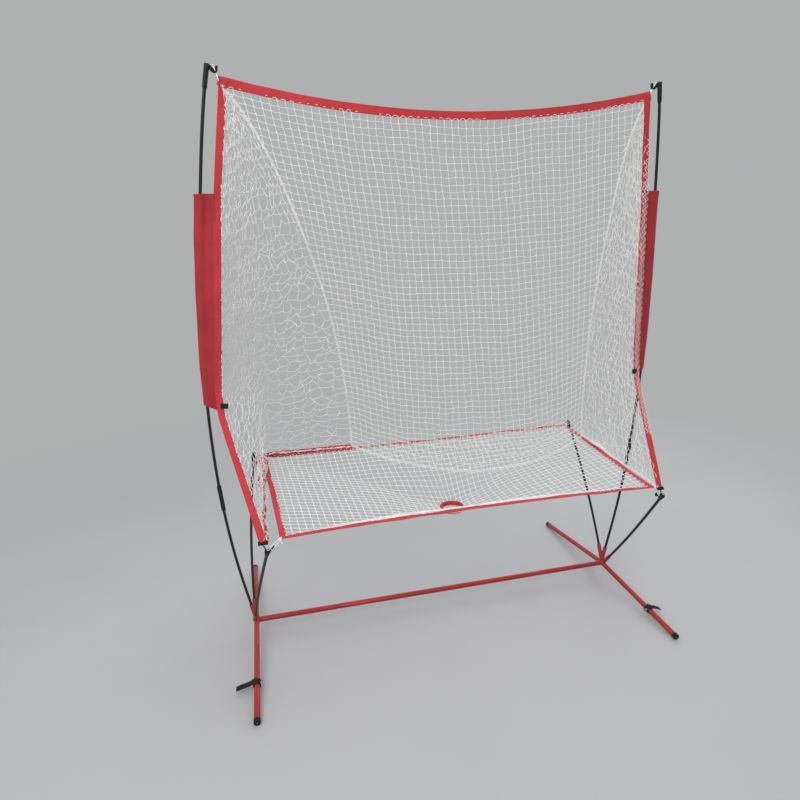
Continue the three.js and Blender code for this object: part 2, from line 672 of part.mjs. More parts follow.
function addLoops() {
  for (const [word, side] of SIDES) {
    addLoop(`${word}_top_loop`, bowCurve(side), onSide(NET_TOP, side), 1);
    for (const [place, points, corner] of TRAY_POLES) {
      const curve = trayHookCurve(points, side);
      addLoop(`${word}_${place}_tray_loop`, curve, onSide(corner, side), TRAY_HOOK_SIZE);
    }
    const low = along(onSide(NET_LOW, side), onSide(SLEEVE_LOW, side), -PATCH_LENGTH - 2.5);
    const collar = trayHookCurve(FRONT_POLE, side).getPointAt(0.98);
    const cord = new THREE.LineCurve3(low, along(collar, low, HOOK_R + 3));
    add(`${word}_corner_cord`, shared(rod(cord, BLACK_CORD_R, 1, 8)), BLACK_WEB);
  }
}

// A hook-and-loop strap wrapped round the front leg, with a loose end and a rivet, and an elastic
// hoop beside it.
function addStrap(word, side) {
  const hub = onSide(HUB, side);
  const tip = onSide(FRONT_TIP, side);
  const axis = heading(hub, tip);
  const out = onSide([1, 0, 0], side);
  const up = new THREE.Vector3().crossVectors(axis, out).multiplyScalar(side);
  const beside = (distance) => along(hub, tip, STRAP_AT + distance);
  const middle = beside(0);

  const wrap = bar(beside(-STRAP_WIDTH / 2), beside(STRAP_WIDTH / 2), STRAP_R, 20);
  const bore = bar(beside(-STRAP_WIDTH), beside(STRAP_WIDTH), STRAP_BORE_R, 20);
  const reach = TAIL_REACH[word];
  const tail = new THREE.CatmullRomCurve3([[4, 12.5], [16, 9], [reach * 0.6, 1], [reach, -6]].map(
    ([x, z]) => middle.clone().addScaledVector(out, x).addScaledVector(up, z)));
  const strap = joined(wrap, band(tail, STRAP_WIDTH - 1, axis, 8)).subtract(solid(bore));
  add(`${word}_leg_strap`, geometryOf(strap), BLACK_WEB);

  const hoop = new THREE.TorusGeometry(HOOP_R, CORD_R, 6, 20);
  hoop.applyQuaternion(new THREE.Quaternion().setFromUnitVectors(UPRIGHT, axis));
  hoop.translate(...beside(-STRAP_WIDTH / 2 - 3).addScaledVector(out, 4).addScaledVector(up, -3));
  add(`${word}_strap_elastic`, shared(hoop), BLACK_WEB);

  const away = out.clone().negate().addScaledVector(up, 0.2).normalize();
  const foot = middle.clone().addScaledVector(away, STRAP_R + PLAY);
  const rivet = bar(foot, foot.clone().addScaledVector(away, RIVET_HEIGHT), RIVET_R);
  add(`${word}_strap_rivet`, shared(rivet), ZINC);
}

addBase();
for (const [word, side] of SIDES) {
  addBow(word, side);
  addTrayPoles(word, side);
  addStrap(word, side);
}
addPocketNet();
addTray();
addLoops();

const extent = new THREE.Box3().setFromObject(net);
net.position.y = -(extent.min.y + extent.max.y) / 2;

export default net;
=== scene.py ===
"""Looks of the portable pitching target net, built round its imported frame.

Every piece is measured from the frame's own nodes: a tube's centreline, a ribbon's width and a panel's
edges are read by slicing the node with planes. Lengths are metres.
"""

import json
import math

import bpy
import numpy as np
from mathutils import Matrix, Vector, noise

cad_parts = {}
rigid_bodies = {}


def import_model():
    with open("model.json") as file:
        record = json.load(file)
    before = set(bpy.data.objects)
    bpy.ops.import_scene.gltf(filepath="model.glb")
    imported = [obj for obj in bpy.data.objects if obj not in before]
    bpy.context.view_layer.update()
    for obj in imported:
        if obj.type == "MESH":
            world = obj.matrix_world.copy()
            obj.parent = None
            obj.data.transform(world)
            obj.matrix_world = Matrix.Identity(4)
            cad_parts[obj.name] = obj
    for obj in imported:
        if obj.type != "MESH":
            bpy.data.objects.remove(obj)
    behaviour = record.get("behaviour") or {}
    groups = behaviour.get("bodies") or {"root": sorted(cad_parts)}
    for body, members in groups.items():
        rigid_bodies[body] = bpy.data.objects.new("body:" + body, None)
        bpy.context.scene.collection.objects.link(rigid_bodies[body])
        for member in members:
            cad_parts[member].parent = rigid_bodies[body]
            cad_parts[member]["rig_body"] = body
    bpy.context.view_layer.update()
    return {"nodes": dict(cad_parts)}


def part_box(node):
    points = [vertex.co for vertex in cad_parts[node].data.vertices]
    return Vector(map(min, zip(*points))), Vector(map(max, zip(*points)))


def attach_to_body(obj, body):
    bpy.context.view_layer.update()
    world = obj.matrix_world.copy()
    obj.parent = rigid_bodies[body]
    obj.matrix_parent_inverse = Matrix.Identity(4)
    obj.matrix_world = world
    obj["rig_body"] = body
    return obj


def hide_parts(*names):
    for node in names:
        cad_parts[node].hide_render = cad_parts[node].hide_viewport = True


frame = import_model()

MM = 0.001
SIDES = (("left", -1), ("right", 1))
X_AXIS, Y_AXIS, Z_AXIS = np.eye(3)

# ---- Sizes that the frame's plain solids leave out ----

BACKDROP = (0.43, 0.433, 0.437)
NECK = 6 * MM  # bare drawn-down end between two pushed-together tubes
TUBE_R = 11 * MM
STUB_R = 9.2 * MM
TUBE_BORE_R = 9.6 * MM
STUB_GRIP = 50 * MM
SOCKET_R = 8.9 * MM
SOCKET_REACH = 46 * MM
POLE_R = 5.6 * MM
POLE_BORE_R = 2.6 * MM
FERRULE_R = 8.5 * MM
CAP_R = 12.5 * MM
STRAP_R = 14 * MM
CAP_HEAD = 17 * MM
HOOK_R = 8.4 * MM
TOP_HOOK_LENGTH = 70 * MM
TRAY_HOOK_LENGTH = 30 * MM
POLE_SHOWING = 9 * MM
TRAY_HOOK_SIZE = 0.8
WEB = 2.2 * MM  # two layers of binding over the net's edge
STITCH_PITCH = 6 * MM
STITCH_LENGTH = 4 * MM
STITCH_R = 0.35 * MM

BACK_MESH = 27 * MM
TRAY_MESH = 27 * MM
SIDE_COLUMNS = 20
SIDE_ROWS = 46
STRAND_R = 1.1 * MM
SIDE_STRAND_R = 0.9 * MM
CORD_R = 1.3 * MM

# Blender seeds noise_vector from the clock when it starts. Another value gives the nets other folds.
NOISE_SEED = 1794822914
noise.seed_set(NOISE_SEED)


# ---- Small vector tools ----


def unit(v):
    v = np.asarray(v, float)
    return v / np.linalg.norm(v, axis=-1, keepdims=True)


def bump(t):
    """0 at both ends, 1 in the middle."""
    return 4 * t * (1 - t)


def lerp(a, b, t):
    return a + (b - a) * t


def lengths(path):
    """Distance along a path at each of its points."""
    steps = np.linalg.norm(np.diff(path, axis=0), axis=1)
    return np.concatenate([[0], np.cumsum(steps)])


def at_distance(path, distance):
    """Points at distances along a path; past an end the path runs on straight."""
    path = np.asarray(path, float)
    distance = np.atleast_1d(distance)
    run = lengths(path)
    points = np.stack([np.interp(distance, run, path[:, k]) for k in range(3)], -1)
    before = np.minimum(distance, 0)[:, None] * unit(path[1] - path[0])
    after = np.maximum(distance - run[-1], 0)[:, None] * unit(path[-1] - path[-2])
    return points + before + after


def resampled(path, step):
    path = np.asarray(path, float)
    total = lengths(path)[-1]
    count = max(2, int(round(total / step)) + 1)
    return at_distance(path, np.linspace(0, total, count))


def smooth_through(points, per_span=8, closed=False):
    """A Catmull-Rom curve through points."""
    points = np.asarray(points, float)
    count = len(points)
    if closed:
        padded = np.concatenate([points[-1:], points, points[:2]])
        spans = count
    else:
        padded = np.concatenate([2 * points[:1] - points[1:2], points, 2 * points[-1:] - points[-2:-1]])
        spans = count - 1
    t = np.linspace(0, 1, per_span, endpoint=False)[:, None]
    parts = []
    for i in range(spans):
        a, b, c, d = padded[i:i + 4]
        parts.append(0.5 * (2 * b + (c - a) * t + (2 * a - 5 * b + 4 * c - d) * t**2
                            + (3 * b - a - 3 * c + d) * t**3))
    curve = np.concatenate(parts)
    return curve if closed else np.concatenate([curve, points[-1:]])


def frames(path, reference, closed=False):
    """Tangent, normal and binormal along a path; the normal leans towards reference."""
    if closed:
        tangent = unit(np.roll(path, -1, 0) - np.roll(path, 1, 0))
    else:
        tangent = unit(np.gradient(path, axis=0))
    reference = np.broadcast_to(reference, path.shape)
    normal = unit(reference - (reference * tangent).sum(1, keepdims=True) * tangent)
    return tangent, normal, np.cross(tangent, normal)


def least_along(path):
    """The axis that a path runs along least."""
    spread = np.abs(path[-1] - path[0]) + 0.2 * np.ptp(path, axis=0)
    return np.eye(3)[int(np.argmin(spread))]


# ---- Reading the frame ----

EDGES = {}


def edges_of(node):
    if node not in EDGES:
        mesh = frame["nodes"][node].data
        points = np.zeros(len(mesh.vertices) * 3)
        mesh.vertices.foreach_get("co", points)
        ends = np.zeros(len(mesh.edges) * 2, int)
        mesh.edges.foreach_get("vertices", ends)
        EDGES[node] = points.reshape(-1, 3)[ends.reshape(-1, 2)]
    return EDGES[node]


def section(node, axis, value):
    """Points where a node's edges cross the plane axis = value."""
    edges = edges_of(node)
    a, b = edges[:, 0], edges[:, 1]
    hit = (a[:, axis] - value) * (b[:, axis] - value) < 0
    a, b = a[hit], b[hit]
    share = (value - a[:, axis]) / (b[:, axis] - a[:, axis])
    return a + (b - a) * share[:, None]


def middle(points):
    return (points.min(0) + points.max(0)) / 2


def low_high(node, axis):
    low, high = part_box(node)
    return low[axis], high[axis]


def centres(node, axis, margin, count):
    low, high = low_high(node, axis)
    return np.array([middle(section(node, axis, v)) for v in np.linspace(low + margin, high - margin, count)])


def run_to_ends(line, node, axis, radius):
    """Extends a round bar's centreline to the middles of its end faces."""
    low, high = low_high(node, axis)
    ends = []
    for near, inner, limit, sign in ((line[0], line[1], low, 1), (line[-1], line[-2], high, -1)):
        d = unit(near - inner)
        face = limit + sign * radius * math.sqrt(max(0.0, 1 - d[axis] ** 2))
        ends.append(near + d * abs((near[axis] - face) / d[axis]))
    return np.concatenate([ends[:1], line, ends[1:]])


def straight_line(node, axis, radius):
    line = centres(node, axis, 4 * radius, 2)
    return run_to_ends(line, node, axis, radius)[[0, -1]]


def fitted(points, axis, values, degree):
    """A smooth curve through measured centres, as a polynomial of one axis."""
    out = np.zeros((len(values), 3))
    out[:, axis] = values
    shift, scale = points[:, axis].mean(), np.ptp(points[:, axis])
    for k in range(3):
        if k != axis:
            fit = np.polyfit((points[:, axis] - shift) / scale, points[:, k], degree)
            out[:, k] = np.polyval(fit, (values - shift) / scale)
    return out


# ---- Mesh building ----


class Shape:
    """One piece's vertices and faces, built up from lofts. Cloth coordinates are in metres."""

    def __init__(self):
        self.points = []
        self.faces = {3: [], 4: []}
        self.uv = {3: [], 4: []}
        self.paint = {3: [], 4: []}
        self.count = 0

    def _keep(self, corners, uv, paint):
        size = corners.shape[1]
        self.faces[size].append(corners)
        self.uv[size].append(uv)
        self.paint[size].append(np.full(len(corners), paint))

    def loft(self, rings, looped=False, paint=0, start_paint=None, end_paint=None):
        """Skins rings of points. The ends are closed by fans unless the rings run round in a loop."""
        rings = np.asarray(rings, float)
        stations, around = rings.shape[:2]
        index = self.count + np.arange(stations * around).reshape(stations, around)
        run = lengths(rings.mean(1))
        girth = lengths(np.concatenate([rings[0], rings[0][:1]]))
        if looped:
            rows = np.concatenate([index, index[:1]])
            closing = np.linalg.norm(rings[-1].mean(0) - rings[0].mean(0))
            run = np.append(run, run[-1] + closing)
        else:
            rows = index
        columns = np.concatenate([rows, rows[:, :1]], axis=1)
        quads = np.stack([columns[:-1, :-1], columns[:-1, 1:], columns[1:, 1:], columns[1:, :-1]], -1)
        s, v = np.meshgrid(run, girth, indexing="ij")
        grid = np.stack([s, v], -1)
        quad_uv = np.stack([grid[:-1, :-1], grid[:-1, 1:], grid[1:, 1:], grid[1:, :-1]], -2)
        points = rings.reshape(-1, 3)
        pieces = [(quads.reshape(-1, 4), quad_uv.reshape(-1, 4, 2), paint)]
        if not looped:
            hubs = self.count + len(points) + np.arange(2)
            points = np.concatenate([points, rings[[0, -1]].mean(1)])
            caps = ((hubs[0], index[0], 1, start_paint), (hubs[1], index[-1], -1, end_paint))
            for hub, ring, order, colour in caps:
                edge = np.stack([ring, np.roll(ring, -1)], -1)[:, ::-order]
                fan = np.concatenate([edge, np.full((around, 1), hub)], 1)
                flat = rings.reshape(-1, 3)[edge - self.count] - points[hub - self.count]
                fan_uv = np.concatenate([flat[..., :2] + flat[..., 2:], np.zeros((around, 1, 2))], 1)
                pieces.append((fan, fan_uv, paint if colour is None else colour))
        if self._inside_out(points, pieces):
            pieces = [(f[:, ::-1], uv[:, ::-1], p) for f, uv, p in pieces]
        self.points.append(points)
        self.count += len(points)
        for corners, uv, colour in pieces:
            self._keep(corners, uv, colour)
        return self

    def _inside_out(self, points, pieces):
        volume = 0.0
        middle_point = points.mean(0)
        for corners, _, _ in pieces:
            p = points[corners - self.count] - middle_point
            for k in range(1, corners.shape[1] - 1):
                volume += np.einsum("ij,ij->", p[:, 0], np.cross(p[:, k], p[:, k + 1]))
        return volume < 0

    def build(self, name, materials, body="frame", stands_for=(), slot=None, sharp=math.radians(38)):
        mesh = bpy.data.meshes.new(name)
        points = np.concatenate(self.points)
        kinds = [k for k in (4, 3) if self.faces[k]]
        corners = [np.concatenate(self.faces[k]) for k in kinds]
        mesh.vertices.add(len(points))
        mesh.vertices.foreach_set("co", points.astype(np.float32).ravel())
        loops = np.concatenate([c.ravel() for c in corners])
        mesh.loops.add(len(loops))
        mesh.loops.foreach_set("vertex_index", loops.astype(np.int32))
        sizes = np.concatenate([np.full(len(c), k) for c, k in zip(corners, kinds)])
        mesh.polygons.add(len(sizes))
        mesh.polygons.foreach_set("loop_start", (np.cumsum(sizes) - sizes).astype(np.int32))
        paint = np.concatenate([np.concatenate(self.paint[k]) for k in kinds])
        mesh.polygons.foreach_set("material_index", paint.astype(np.int32))
        mesh.polygons.foreach_set("use_smooth", np.ones(len(sizes), bool))
        mesh.update(calc_edges=True)
        layer = mesh.uv_layers.new(name="cloth")
        uv = np.concatenate([np.concatenate(self.uv[k]).reshape(-1, 2) for k in kinds])
        layer.data.foreach_set("uv", uv.astype(np.float32).ravel())
        mesh.set_sharp_from_angle(angle=sharp)
        for material in materials:
            mesh.materials.append(material)
        piece = bpy.data.objects.new(name, mesh)
        bpy.context.scene.collection.objects.link(piece)
        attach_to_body(piece, body)
        if stands_for:
            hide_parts(*stands_for)
        return piece


def circle(sides):
    turn = np.linspace(0, 2 * math.pi, sides, endpoint=False)
    return np.stack([np.cos(turn), np.sin(turn)], -1)


def rings_along(path, radius, sides, reference=None, closed=False):
    """Round rings along a path; radius is a number or one number for each point."""
    reference = least_along(path) if reference is None else reference
    _, normal, binormal = frames(path, reference, closed)
    radius = np.broadcast_to(radius, len(path))[:, None, None]
    ring = circle(sides)
    return path[:, None] + radius * (ring[:, :1] * normal[:, None] + ring[:, 1:] * binormal[:, None])


def turned(shape, path, stations, sides=32, reference=None, looped=False, **paint):
    """A body turned round a path: stations are (distance along the path, radius) pairs."""
    path = np.asarray(path, float)
    stations = np.asarray(stations, float)
    reference = least_along(path) if reference is None else reference
    here = at_distance(path, stations[:, 0])
    ahead = at_distance(path, stations[:, 0] + 1 * MM)
    behind = at_distance(path, stations[:, 0] - 1 * MM)
    tangent = unit(ahead - behind)
    normal = unit(reference - (reference * tangent).sum(1, keepdims=True) * tangent)
    binormal = np.cross(tangent, normal)
    ring = circle(sides)
    radius = stations[:, 1][:, None, None]
    rings = here[:, None] + radius * (ring[:, :1] * normal[:, None] + ring[:, 1:] * binormal[:, None])
    return shape.loft(rings, looped=looped, **paint)


def flat_outline(width, thickness, around=20, power=5.0):
    """A flat cross-section with rounded edges: (across, through) pairs."""
    ring = circle(around)
    share = np.sign(ring) * np.abs(ring) ** (2 / power)
    return share * (width / 2, thickness / 2)


def ribbon(shape, path, across, width, thickness, ripple=0.0, seed=0, **paint):
    """A soft flat band along a path. ripple is how far it waves out of its own plane."""
    _, wide, through = frames(path, across)
    outline = flat_outline(width, thickness)
    run = lengths(path)
    wave = np.array([noise.noise(Vector((s * 9, seed * 7.3, 0))) for s in run]) * ripple
    tilt = np.array([noise.noise(Vector((s * 13, seed * 3.1, 5))) for s in run]) * ripple / (width / 2)
    a = outline[None, :, :1]
    b = outline[None, :, 1:] + wave[:, None, None] + tilt[:, None, None] * a
    rings = path[:, None] + a * wide[:, None] + b * through[:, None]
    return shape.loft(rings, **paint)


def stitch_row(shape, path, across, offset, lift, paint):
    """A row of thread dashes on a ribbon, offset across it and lifted off its middle."""
    _, wide, through = frames(path, across)
    line = path + wide * offset + through * lift
    run = lengths(line)
    starts = np.arange(STITCH_PITCH, run[-1] - STITCH_PITCH, STITCH_PITCH)
    shares = np.linspace(0, 1, 4)
    for start in starts:
        dash = at_distance(line, start + shares * STITCH_LENGTH)
        radius = STITCH_R * np.array([0.35, 1, 1, 0.35])
        shape.loft(rings_along(dash, radius, 4, across), paint=paint)
    return shape


# ---- Materials ----


class Paint:
    """A node material under construction: values may be numbers, colours or other nodes' outputs."""

    def __init__(self, name):
        self.material = bpy.data.materials.new(name)
        self.material.use_nodes = True
        self.tree = self.material.node_tree
        self.tree.nodes.clear()
        self.shader = self.node("ShaderNodeBsdfPrincipled")
        out = self.tree.nodes.new("ShaderNodeOutputMaterial")
        self.tree.links.new(self.shader.outputs[0], out.inputs["Surface"])

    def set(self, node, **values):
        for name, value in values.items():
            socket = node.inputs[name.replace("_", " ")]
            if isinstance(value, bpy.types.NodeSocket):
                self.tree.links.new(value, socket)
            elif isinstance(value, tuple) and len(value) == 3 and socket.type == "RGBA":
                socket.default_value = (*value, 1)
            else:
                socket.default_value = value
        return node

    def node(self, kind, **values):
        return self.set(self.tree.nodes.new(kind), **values)

    def place(self, scale=(1, 1, 1), cloth=False):
        """Object coordinates, or cloth coordinates along and across a strip, stretched by scale."""
        where = self.node("ShaderNodeUVMap" if cloth else "ShaderNodeTexCoord")
        if cloth:
            where.uv_map = "cloth"
        source = where.outputs["UV" if cloth else "Object"]
        return self.node("ShaderNodeMapping", Vector=source, Scale=scale).outputs[0]

    def noise(self, where, scale, detail=3.0, roughness=0.55):
        return self.node("ShaderNodeTexNoise", Vector=where, Scale=scale, Detail=detail,
                         Roughness=roughness).outputs["Fac"]

    def wave(self, where, scale, direction="X", distortion=0.0):
        node = self.node("ShaderNodeTexWave", Vector=where, Scale=scale, Distortion=distortion)
        node.bands_direction = direction
        return node.outputs["Fac"]

    def math(self, operation, a, b=0.0):
        node = self.tree.nodes.new("ShaderNodeMath")
        node.operation = operation
        for socket, value in zip(node.inputs, (a, b)):
            if isinstance(value, bpy.types.NodeSocket):
                self.tree.links.new(value, socket)
            else:
                socket.default_value = value
        return node.outputs[0]

    def ramp(self, value, low, high):
        """Numbers or colours from low to high as value goes from 0.3 to 0.7."""
        node = self.node("ShaderNodeMapRange", Value=value)
        node.inputs["From Min"].default_value = 0.3
        node.inputs["From Max"].default_value = 0.7
        if not isinstance(low, tuple):
            node.inputs["To Min"].default_value = low
            node.inputs["To Max"].default_value = high
            return node.outputs[0]
        return self.blend(node.outputs[0], low, high)

    def blend(self, share, a, b):
        """Colour a where share is 0 and colour b where it is 1."""
        mix = self.tree.nodes.new("ShaderNodeMix")
        mix.data_type = "RGBA"
        self.tree.links.new(share, mix.inputs["Factor"])
        sockets = [s for s in mix.inputs if s.type == "RGBA"]
        for socket, value in zip(sockets, (a, b)):
            if isinstance(value, bpy.types.NodeSocket):
                self.tree.links.new(value, socket)
            else:
                socket.default_value = (*value, 1)
        return [s for s in mix.outputs if s.type == "RGBA"][0]

    def worn_edges(self, low=0.57, high=0.66):
        """1 on convex edges, 0 elsewhere."""
        geometry = self.node("ShaderNodeNewGeometry")
        node = self.node("ShaderNodeMapRange", Value=geometry.outputs["Pointiness"])
        node.inputs["From Min"].default_value = low
        node.inputs["From Max"].default_value = high
        return node.outputs[0]

    def finish(self, colour, roughness, height=None, strength=0.2, distance=0.3 * MM, **extra):
        self.set(self.shader, Base_Color=colour, Roughness=roughness)
        for name, value in extra.items():
            self.set(self.shader, **{name: value})
        if height is not None:
            relief = self.node("ShaderNodeBump", Height=height, Strength=strength, Distance=distance)
            self.set(self.shader, Normal=relief.outputs[0])
        return self.material


def painted_steel():
    paint = Paint("red_painted_steel")
    broad = paint.noise(paint.place(), 7.0)
    peel = paint.noise(paint.place(), 900.0, 2.0)
    scuffs = paint.noise(paint.place((60, 60, 60)), 3.0, 6.0, 0.8)
    colour = paint.ramp(broad, (0.27, 0.014, 0.016), (0.38, 0.024, 0.025))
    dusty = paint.math("MULTIPLY", paint.ramp(scuffs, 0.0, 1.0), 0.025)
    colour = paint.blend(dusty, colour, (0.55, 0.30, 0.28))
    rubbed = paint.math("MULTIPLY", paint.worn_edges(), 0.35)
    colour = paint.blend(rubbed, colour, (0.30, 0.27, 0.26))
    return paint.finish(colour, paint.ramp(scuffs, 0.30, 0.48), peel, 0.12, Specular_IOR_Level=0.3)


def fibreglass():
    paint = Paint("black_fibreglass")
    fibres = paint.noise(paint.place((25, 700, 1), cloth=True), 1.0, 3.0)
    mottle = paint.noise(paint.place(), 30.0)
    colour = paint.ramp(fibres, (0.006, 0.0055, 0.0055), (0.020, 0.018, 0.017))
    pale = paint.math("MULTIPLY", paint.ramp(mottle, 0.0, 1.0), 0.12)
    colour = paint.blend(pale, colour, (0.045, 0.042, 0.04))
    return paint.finish(colour, paint.ramp(fibres, 0.32, 0.52), fibres, 0.15, Specular_IOR_Level=0.25)


def pole_end():
    paint = Paint("cut_fibreglass_end")
    grain = paint.noise(paint.place(), 2500.0, 4.0, 0.7)
    return paint.finish(paint.ramp(grain, (0.28, 0.27, 0.25), (0.55, 0.54, 0.50)), 0.8, grain, 0.5)


def moulded_plastic():
    paint = Paint("black_moulded_plastic")
    grain = paint.noise(paint.place(), 1400.0, 2.0)
    broad = paint.noise(paint.place(), 25.0)
    colour = paint.ramp(broad, (0.007, 0.007, 0.007), (0.018, 0.0175, 0.017))
    rubbed = paint.math("MULTIPLY", paint.worn_edges(), 0.3)
    colour = paint.blend(rubbed, colour, (0.07, 0.07, 0.07))
    return paint.finish(colour, paint.ramp(broad, 0.38, 0.56), grain, 0.25, Specular_IOR_Level=0.2)


def plain_weave(paint, threads):
    """Height of a plain weave with so many threads to a metre, on cloth coordinates."""
    where = paint.place(cloth=True)
    along = paint.wave(where, threads / 2 * 0.31831, "X")
    across = paint.wave(where, threads / 2 * 0.31831, "Y")
    return paint.math("MAXIMUM", along, paint.math("MULTIPLY", across, 0.9))


def red_fabric(name, dark, light):
    paint = Paint(name)
    weave = plain_weave(paint, 1500)
    broad = paint.noise(paint.place(), 11.0, 4.0)
    creases = paint.noise(paint.place((1, 1, 0.25)), 42.0, 4.0, 0.6)
    colour = paint.ramp(broad, dark, light)
    colour = paint.blend(paint.math("MULTIPLY", weave, 0.2), colour, tuple(1.3 * c + 0.02 for c in light))
    height = paint.math("ADD", paint.math("MULTIPLY", weave, 0.5), creases)
    return paint.finish(colour, paint.ramp(creases, 0.62, 0.82), height, 0.35, 0.8 * MM,
                        Specular_IOR_Level=0.3, Sheen_Weight=0.04, Sheen_Roughness=0.5)


def thread(name, dark, light):
    paint = Paint(name)
    twist = paint.wave(paint.place((1, 1, 1), cloth=True), 320.0, "DIAGONAL")
    broad = paint.noise(paint.place(), 20.0)
    colour = paint.ramp(broad, dark, light)
    colour = paint.blend(paint.math("MULTIPLY", twist, 0.2), colour, tuple(0.75 * c for c in dark))
    return paint.finish(colour, 0.75, twist, 0.5, 0.3 * MM, Sheen_Weight=0.2)


def webbing(name, dark, light, ribs=700):
    paint = Paint(name)
    where = paint.place(cloth=True)
    rib = paint.wave(where, ribs * 0.15915, "X", 0.6)
    warp = paint.wave(where, 1500 * 0.15915, "Y")
    height = paint.math("ADD", rib, paint.math("MULTIPLY", warp, 0.5))
    colour = paint.ramp(paint.noise(paint.place(), 40.0), dark, light)
    colour = paint.blend(paint.math("MULTIPLY", rib, 0.2), colour, tuple(min(1, 1.8 * c) for c in light))
    return paint.finish(colour, 0.85, height, 0.5, 0.6 * MM, Specular_IOR_Level=0.15)


def zinc():
    paint = Paint("zinc_plate")
    spangle = paint.node("ShaderNodeTexVoronoi", Vector=paint.place(), Scale=900.0).outputs["Distance"]
    colour = paint.ramp(spangle, (0.55, 0.55, 0.56), (0.72, 0.72, 0.71))
    return paint.finish(colour, paint.ramp(spangle, 0.25, 0.42), spangle, 0.1, Metallic=1.0)


def floor_paint():
    """A pale floor that melts into the backdrop's colour away from the net."""
    paint = Paint("pale_floor")
    broad = paint.noise(paint.place(), 0.7, 5.0)
    grit = paint.noise(paint.place(), 160.0, 3.0)
    colour = paint.ramp(broad, (0.400, 0.400, 0.405), (0.430, 0.430, 0.432))
    material = paint.finish(colour, paint.ramp(grit, 0.55, 0.75), grit, 0.1)
    reach = paint.tree.nodes.new("ShaderNodeVectorMath")
    reach.operation = "LENGTH"
    paint.tree.links.new(paint.place(), reach.inputs[0])
    far = paint.node("ShaderNodeMapRange", Value=reach.outputs["Value"])
    far.interpolation_type = "SMOOTHSTEP"
    far.inputs["From Min"].default_value = 1.3
    far.inputs["From Max"].default_value = 4.5
    glow = paint.node("ShaderNodeEmission", Color=BACKDROP)
    mix = paint.tree.nodes.new("ShaderNodeMixShader")
    paint.tree.links.new(far.outputs[0], mix.inputs[0])
    paint.tree.links.new(paint.shader.outputs[0], mix.inputs[1])
    paint.tree.links.new(glow.outputs[0], mix.inputs[2])
    out = [n for n in paint.tree.nodes if n.type == "OUTPUT_MATERIAL"][0]
    paint.tree.links.new(mix.outputs[0], out.inputs["Surface"])
    return material


STEEL = painted_steel()
FIBREGLASS = fibreglass()
POLE_END = pole_end()
PLASTIC = moulded_plastic()
# Lit and shaded copies of one red cloth: the tape for the bindings, ring and hem is painted lighter for the
# light falling on it, and the sleeve cloth is painted darker as shade
LIT_FABRIC = red_fabric("red_binding_tape_painted_light", (0.36, 0.018, 0.023), (0.49, 0.031, 0.037))
SHADED_SLEEVE_FABRIC = red_fabric("red_oxford_fabric_painted_shade", (0.26, 0.013, 0.017), (0.36, 0.021, 0.026))
RED_THREAD = thread("red_sewing_thread", (0.34, 0.02, 0.025), (0.46, 0.04, 0.04))
NETTING = thread("white_net_twine", (0.74, 0.74, 0.72), (0.86, 0.86, 0.84))
ELASTIC = thread("white_elastic_cord", (0.80, 0.80, 0.78), (0.90, 0.90, 0.88))
BLACK_CORD = thread("black_cord", (0.012, 0.012, 0.012), (0.03, 0.03, 0.03))
WEBBING = webbing("black_webbing", (0.008, 0.008, 0.008), (0.020, 0.019, 0.019))
ZINC = zinc()


# ---- Steel base ----

CROSSBAR = straight_line("crossbar", 0, TUBE_R)
EDGE_ROUND = 0.5 * MM


def hollow_tube(path, outer, bore):
    """A cut tube with lightly rounded ends."""
    total = lengths(np.asarray(path))[-1]
    e = EDGE_ROUND
    profile = [(0, outer - e), (0.3 * e, outer - 0.3 * e), (e, outer), (total - e, outer),
               (total - 0.3 * e, outer - 0.3 * e), (total, outer - e), (total, bore), (0, bore)]
    shape = Shape()
    turned(shape, path, profile, 40, looped=True)
    return shape


def toward(origin, target):
    return unit(np.asarray(target, float) - np.asarray(origin, float))


LEGS = {}
HUBS = {}
for word, side in SIDES:
    for place in ("front", "rear"):
        line = straight_line(f"{word}_{place}_leg", 1, TUBE_R)
        if place == "front":
            line = line[::-1]  # from the hub to the tip
        LEGS[word, place] = line
    mouth, tip = LEGS[word, "front"]
    HUBS[word] = mouth + (tip - mouth) * (CROSSBAR[0][1] - mouth[1]) / (tip[1] - mouth[1])


def arm(shape, centre, mouth, bore=STUB_R - 1.4 * MM):
    """A hub's tube from its centre, drawn down to the stub that the next tube pushes over."""
    total = np.linalg.norm(mouth - centre) - NECK
    end = total + NECK + STUB_GRIP
    path = np.array([centre, centre + toward(centre, mouth) * end])
    stations = [(0, TUBE_R), (total - 2 * MM, TUBE_R), (total - 0.8 * MM, TUBE_R - 0.3 * MM),
                (total + 0.6 * MM, STUB_R + 0.3 * MM), (total + 2 * MM, STUB_R),
                (end - 1 * MM, STUB_R), (end, STUB_R - 0.8 * MM), (end, bore), (end - 12 * MM, bore)]
    turned(shape, path, stations, 40)


def ball(shape, centre, radius, axis):
    turn = np.linspace(0.06, math.pi - 0.06, 14)
    stations = np.stack([-radius * np.cos(turn), radius * np.sin(turn)], -1)
    turned(shape, np.array([centre, centre + axis]), stations, 32)


def weld_bead(shape, centre, axis, radius, seed):
    """A lumpy fillet where one tube is welded to another."""
    count = 72
    turn = np.linspace(0, 2 * math.pi, count, endpoint=False)
    a = unit(np.cross(axis, X_AXIS + 0.3 * Y_AXIS))
    b = np.cross(axis, a)
    path = centre + radius * (np.cos(turn)[:, None] * a + np.sin(turn)[:, None] * b)
    lumps = np.array([noise.noise(Vector((math.cos(t) * 3, math.sin(t) * 3, seed))) for t in turn])
    ripples = 0.25 * np.cos(18 * turn)
    size = (2.0 + 0.7 * lumps + ripples) * MM
    shape.loft(rings_along(path, size, 10, axis, closed=True), looped=True)


def pole_line(word, name, degree=5, step=12 * MM):
    node = f"{word}_{name}"
    line = run_to_ends(centres(node, 2, 3 * POLE_R, 24), node, 2, POLE_R)
    low, high = line[0][2], line[-1][2]
    count = int((high - low) / step) + 2
    return fitted(line, 2, np.linspace(low, high, count), degree)


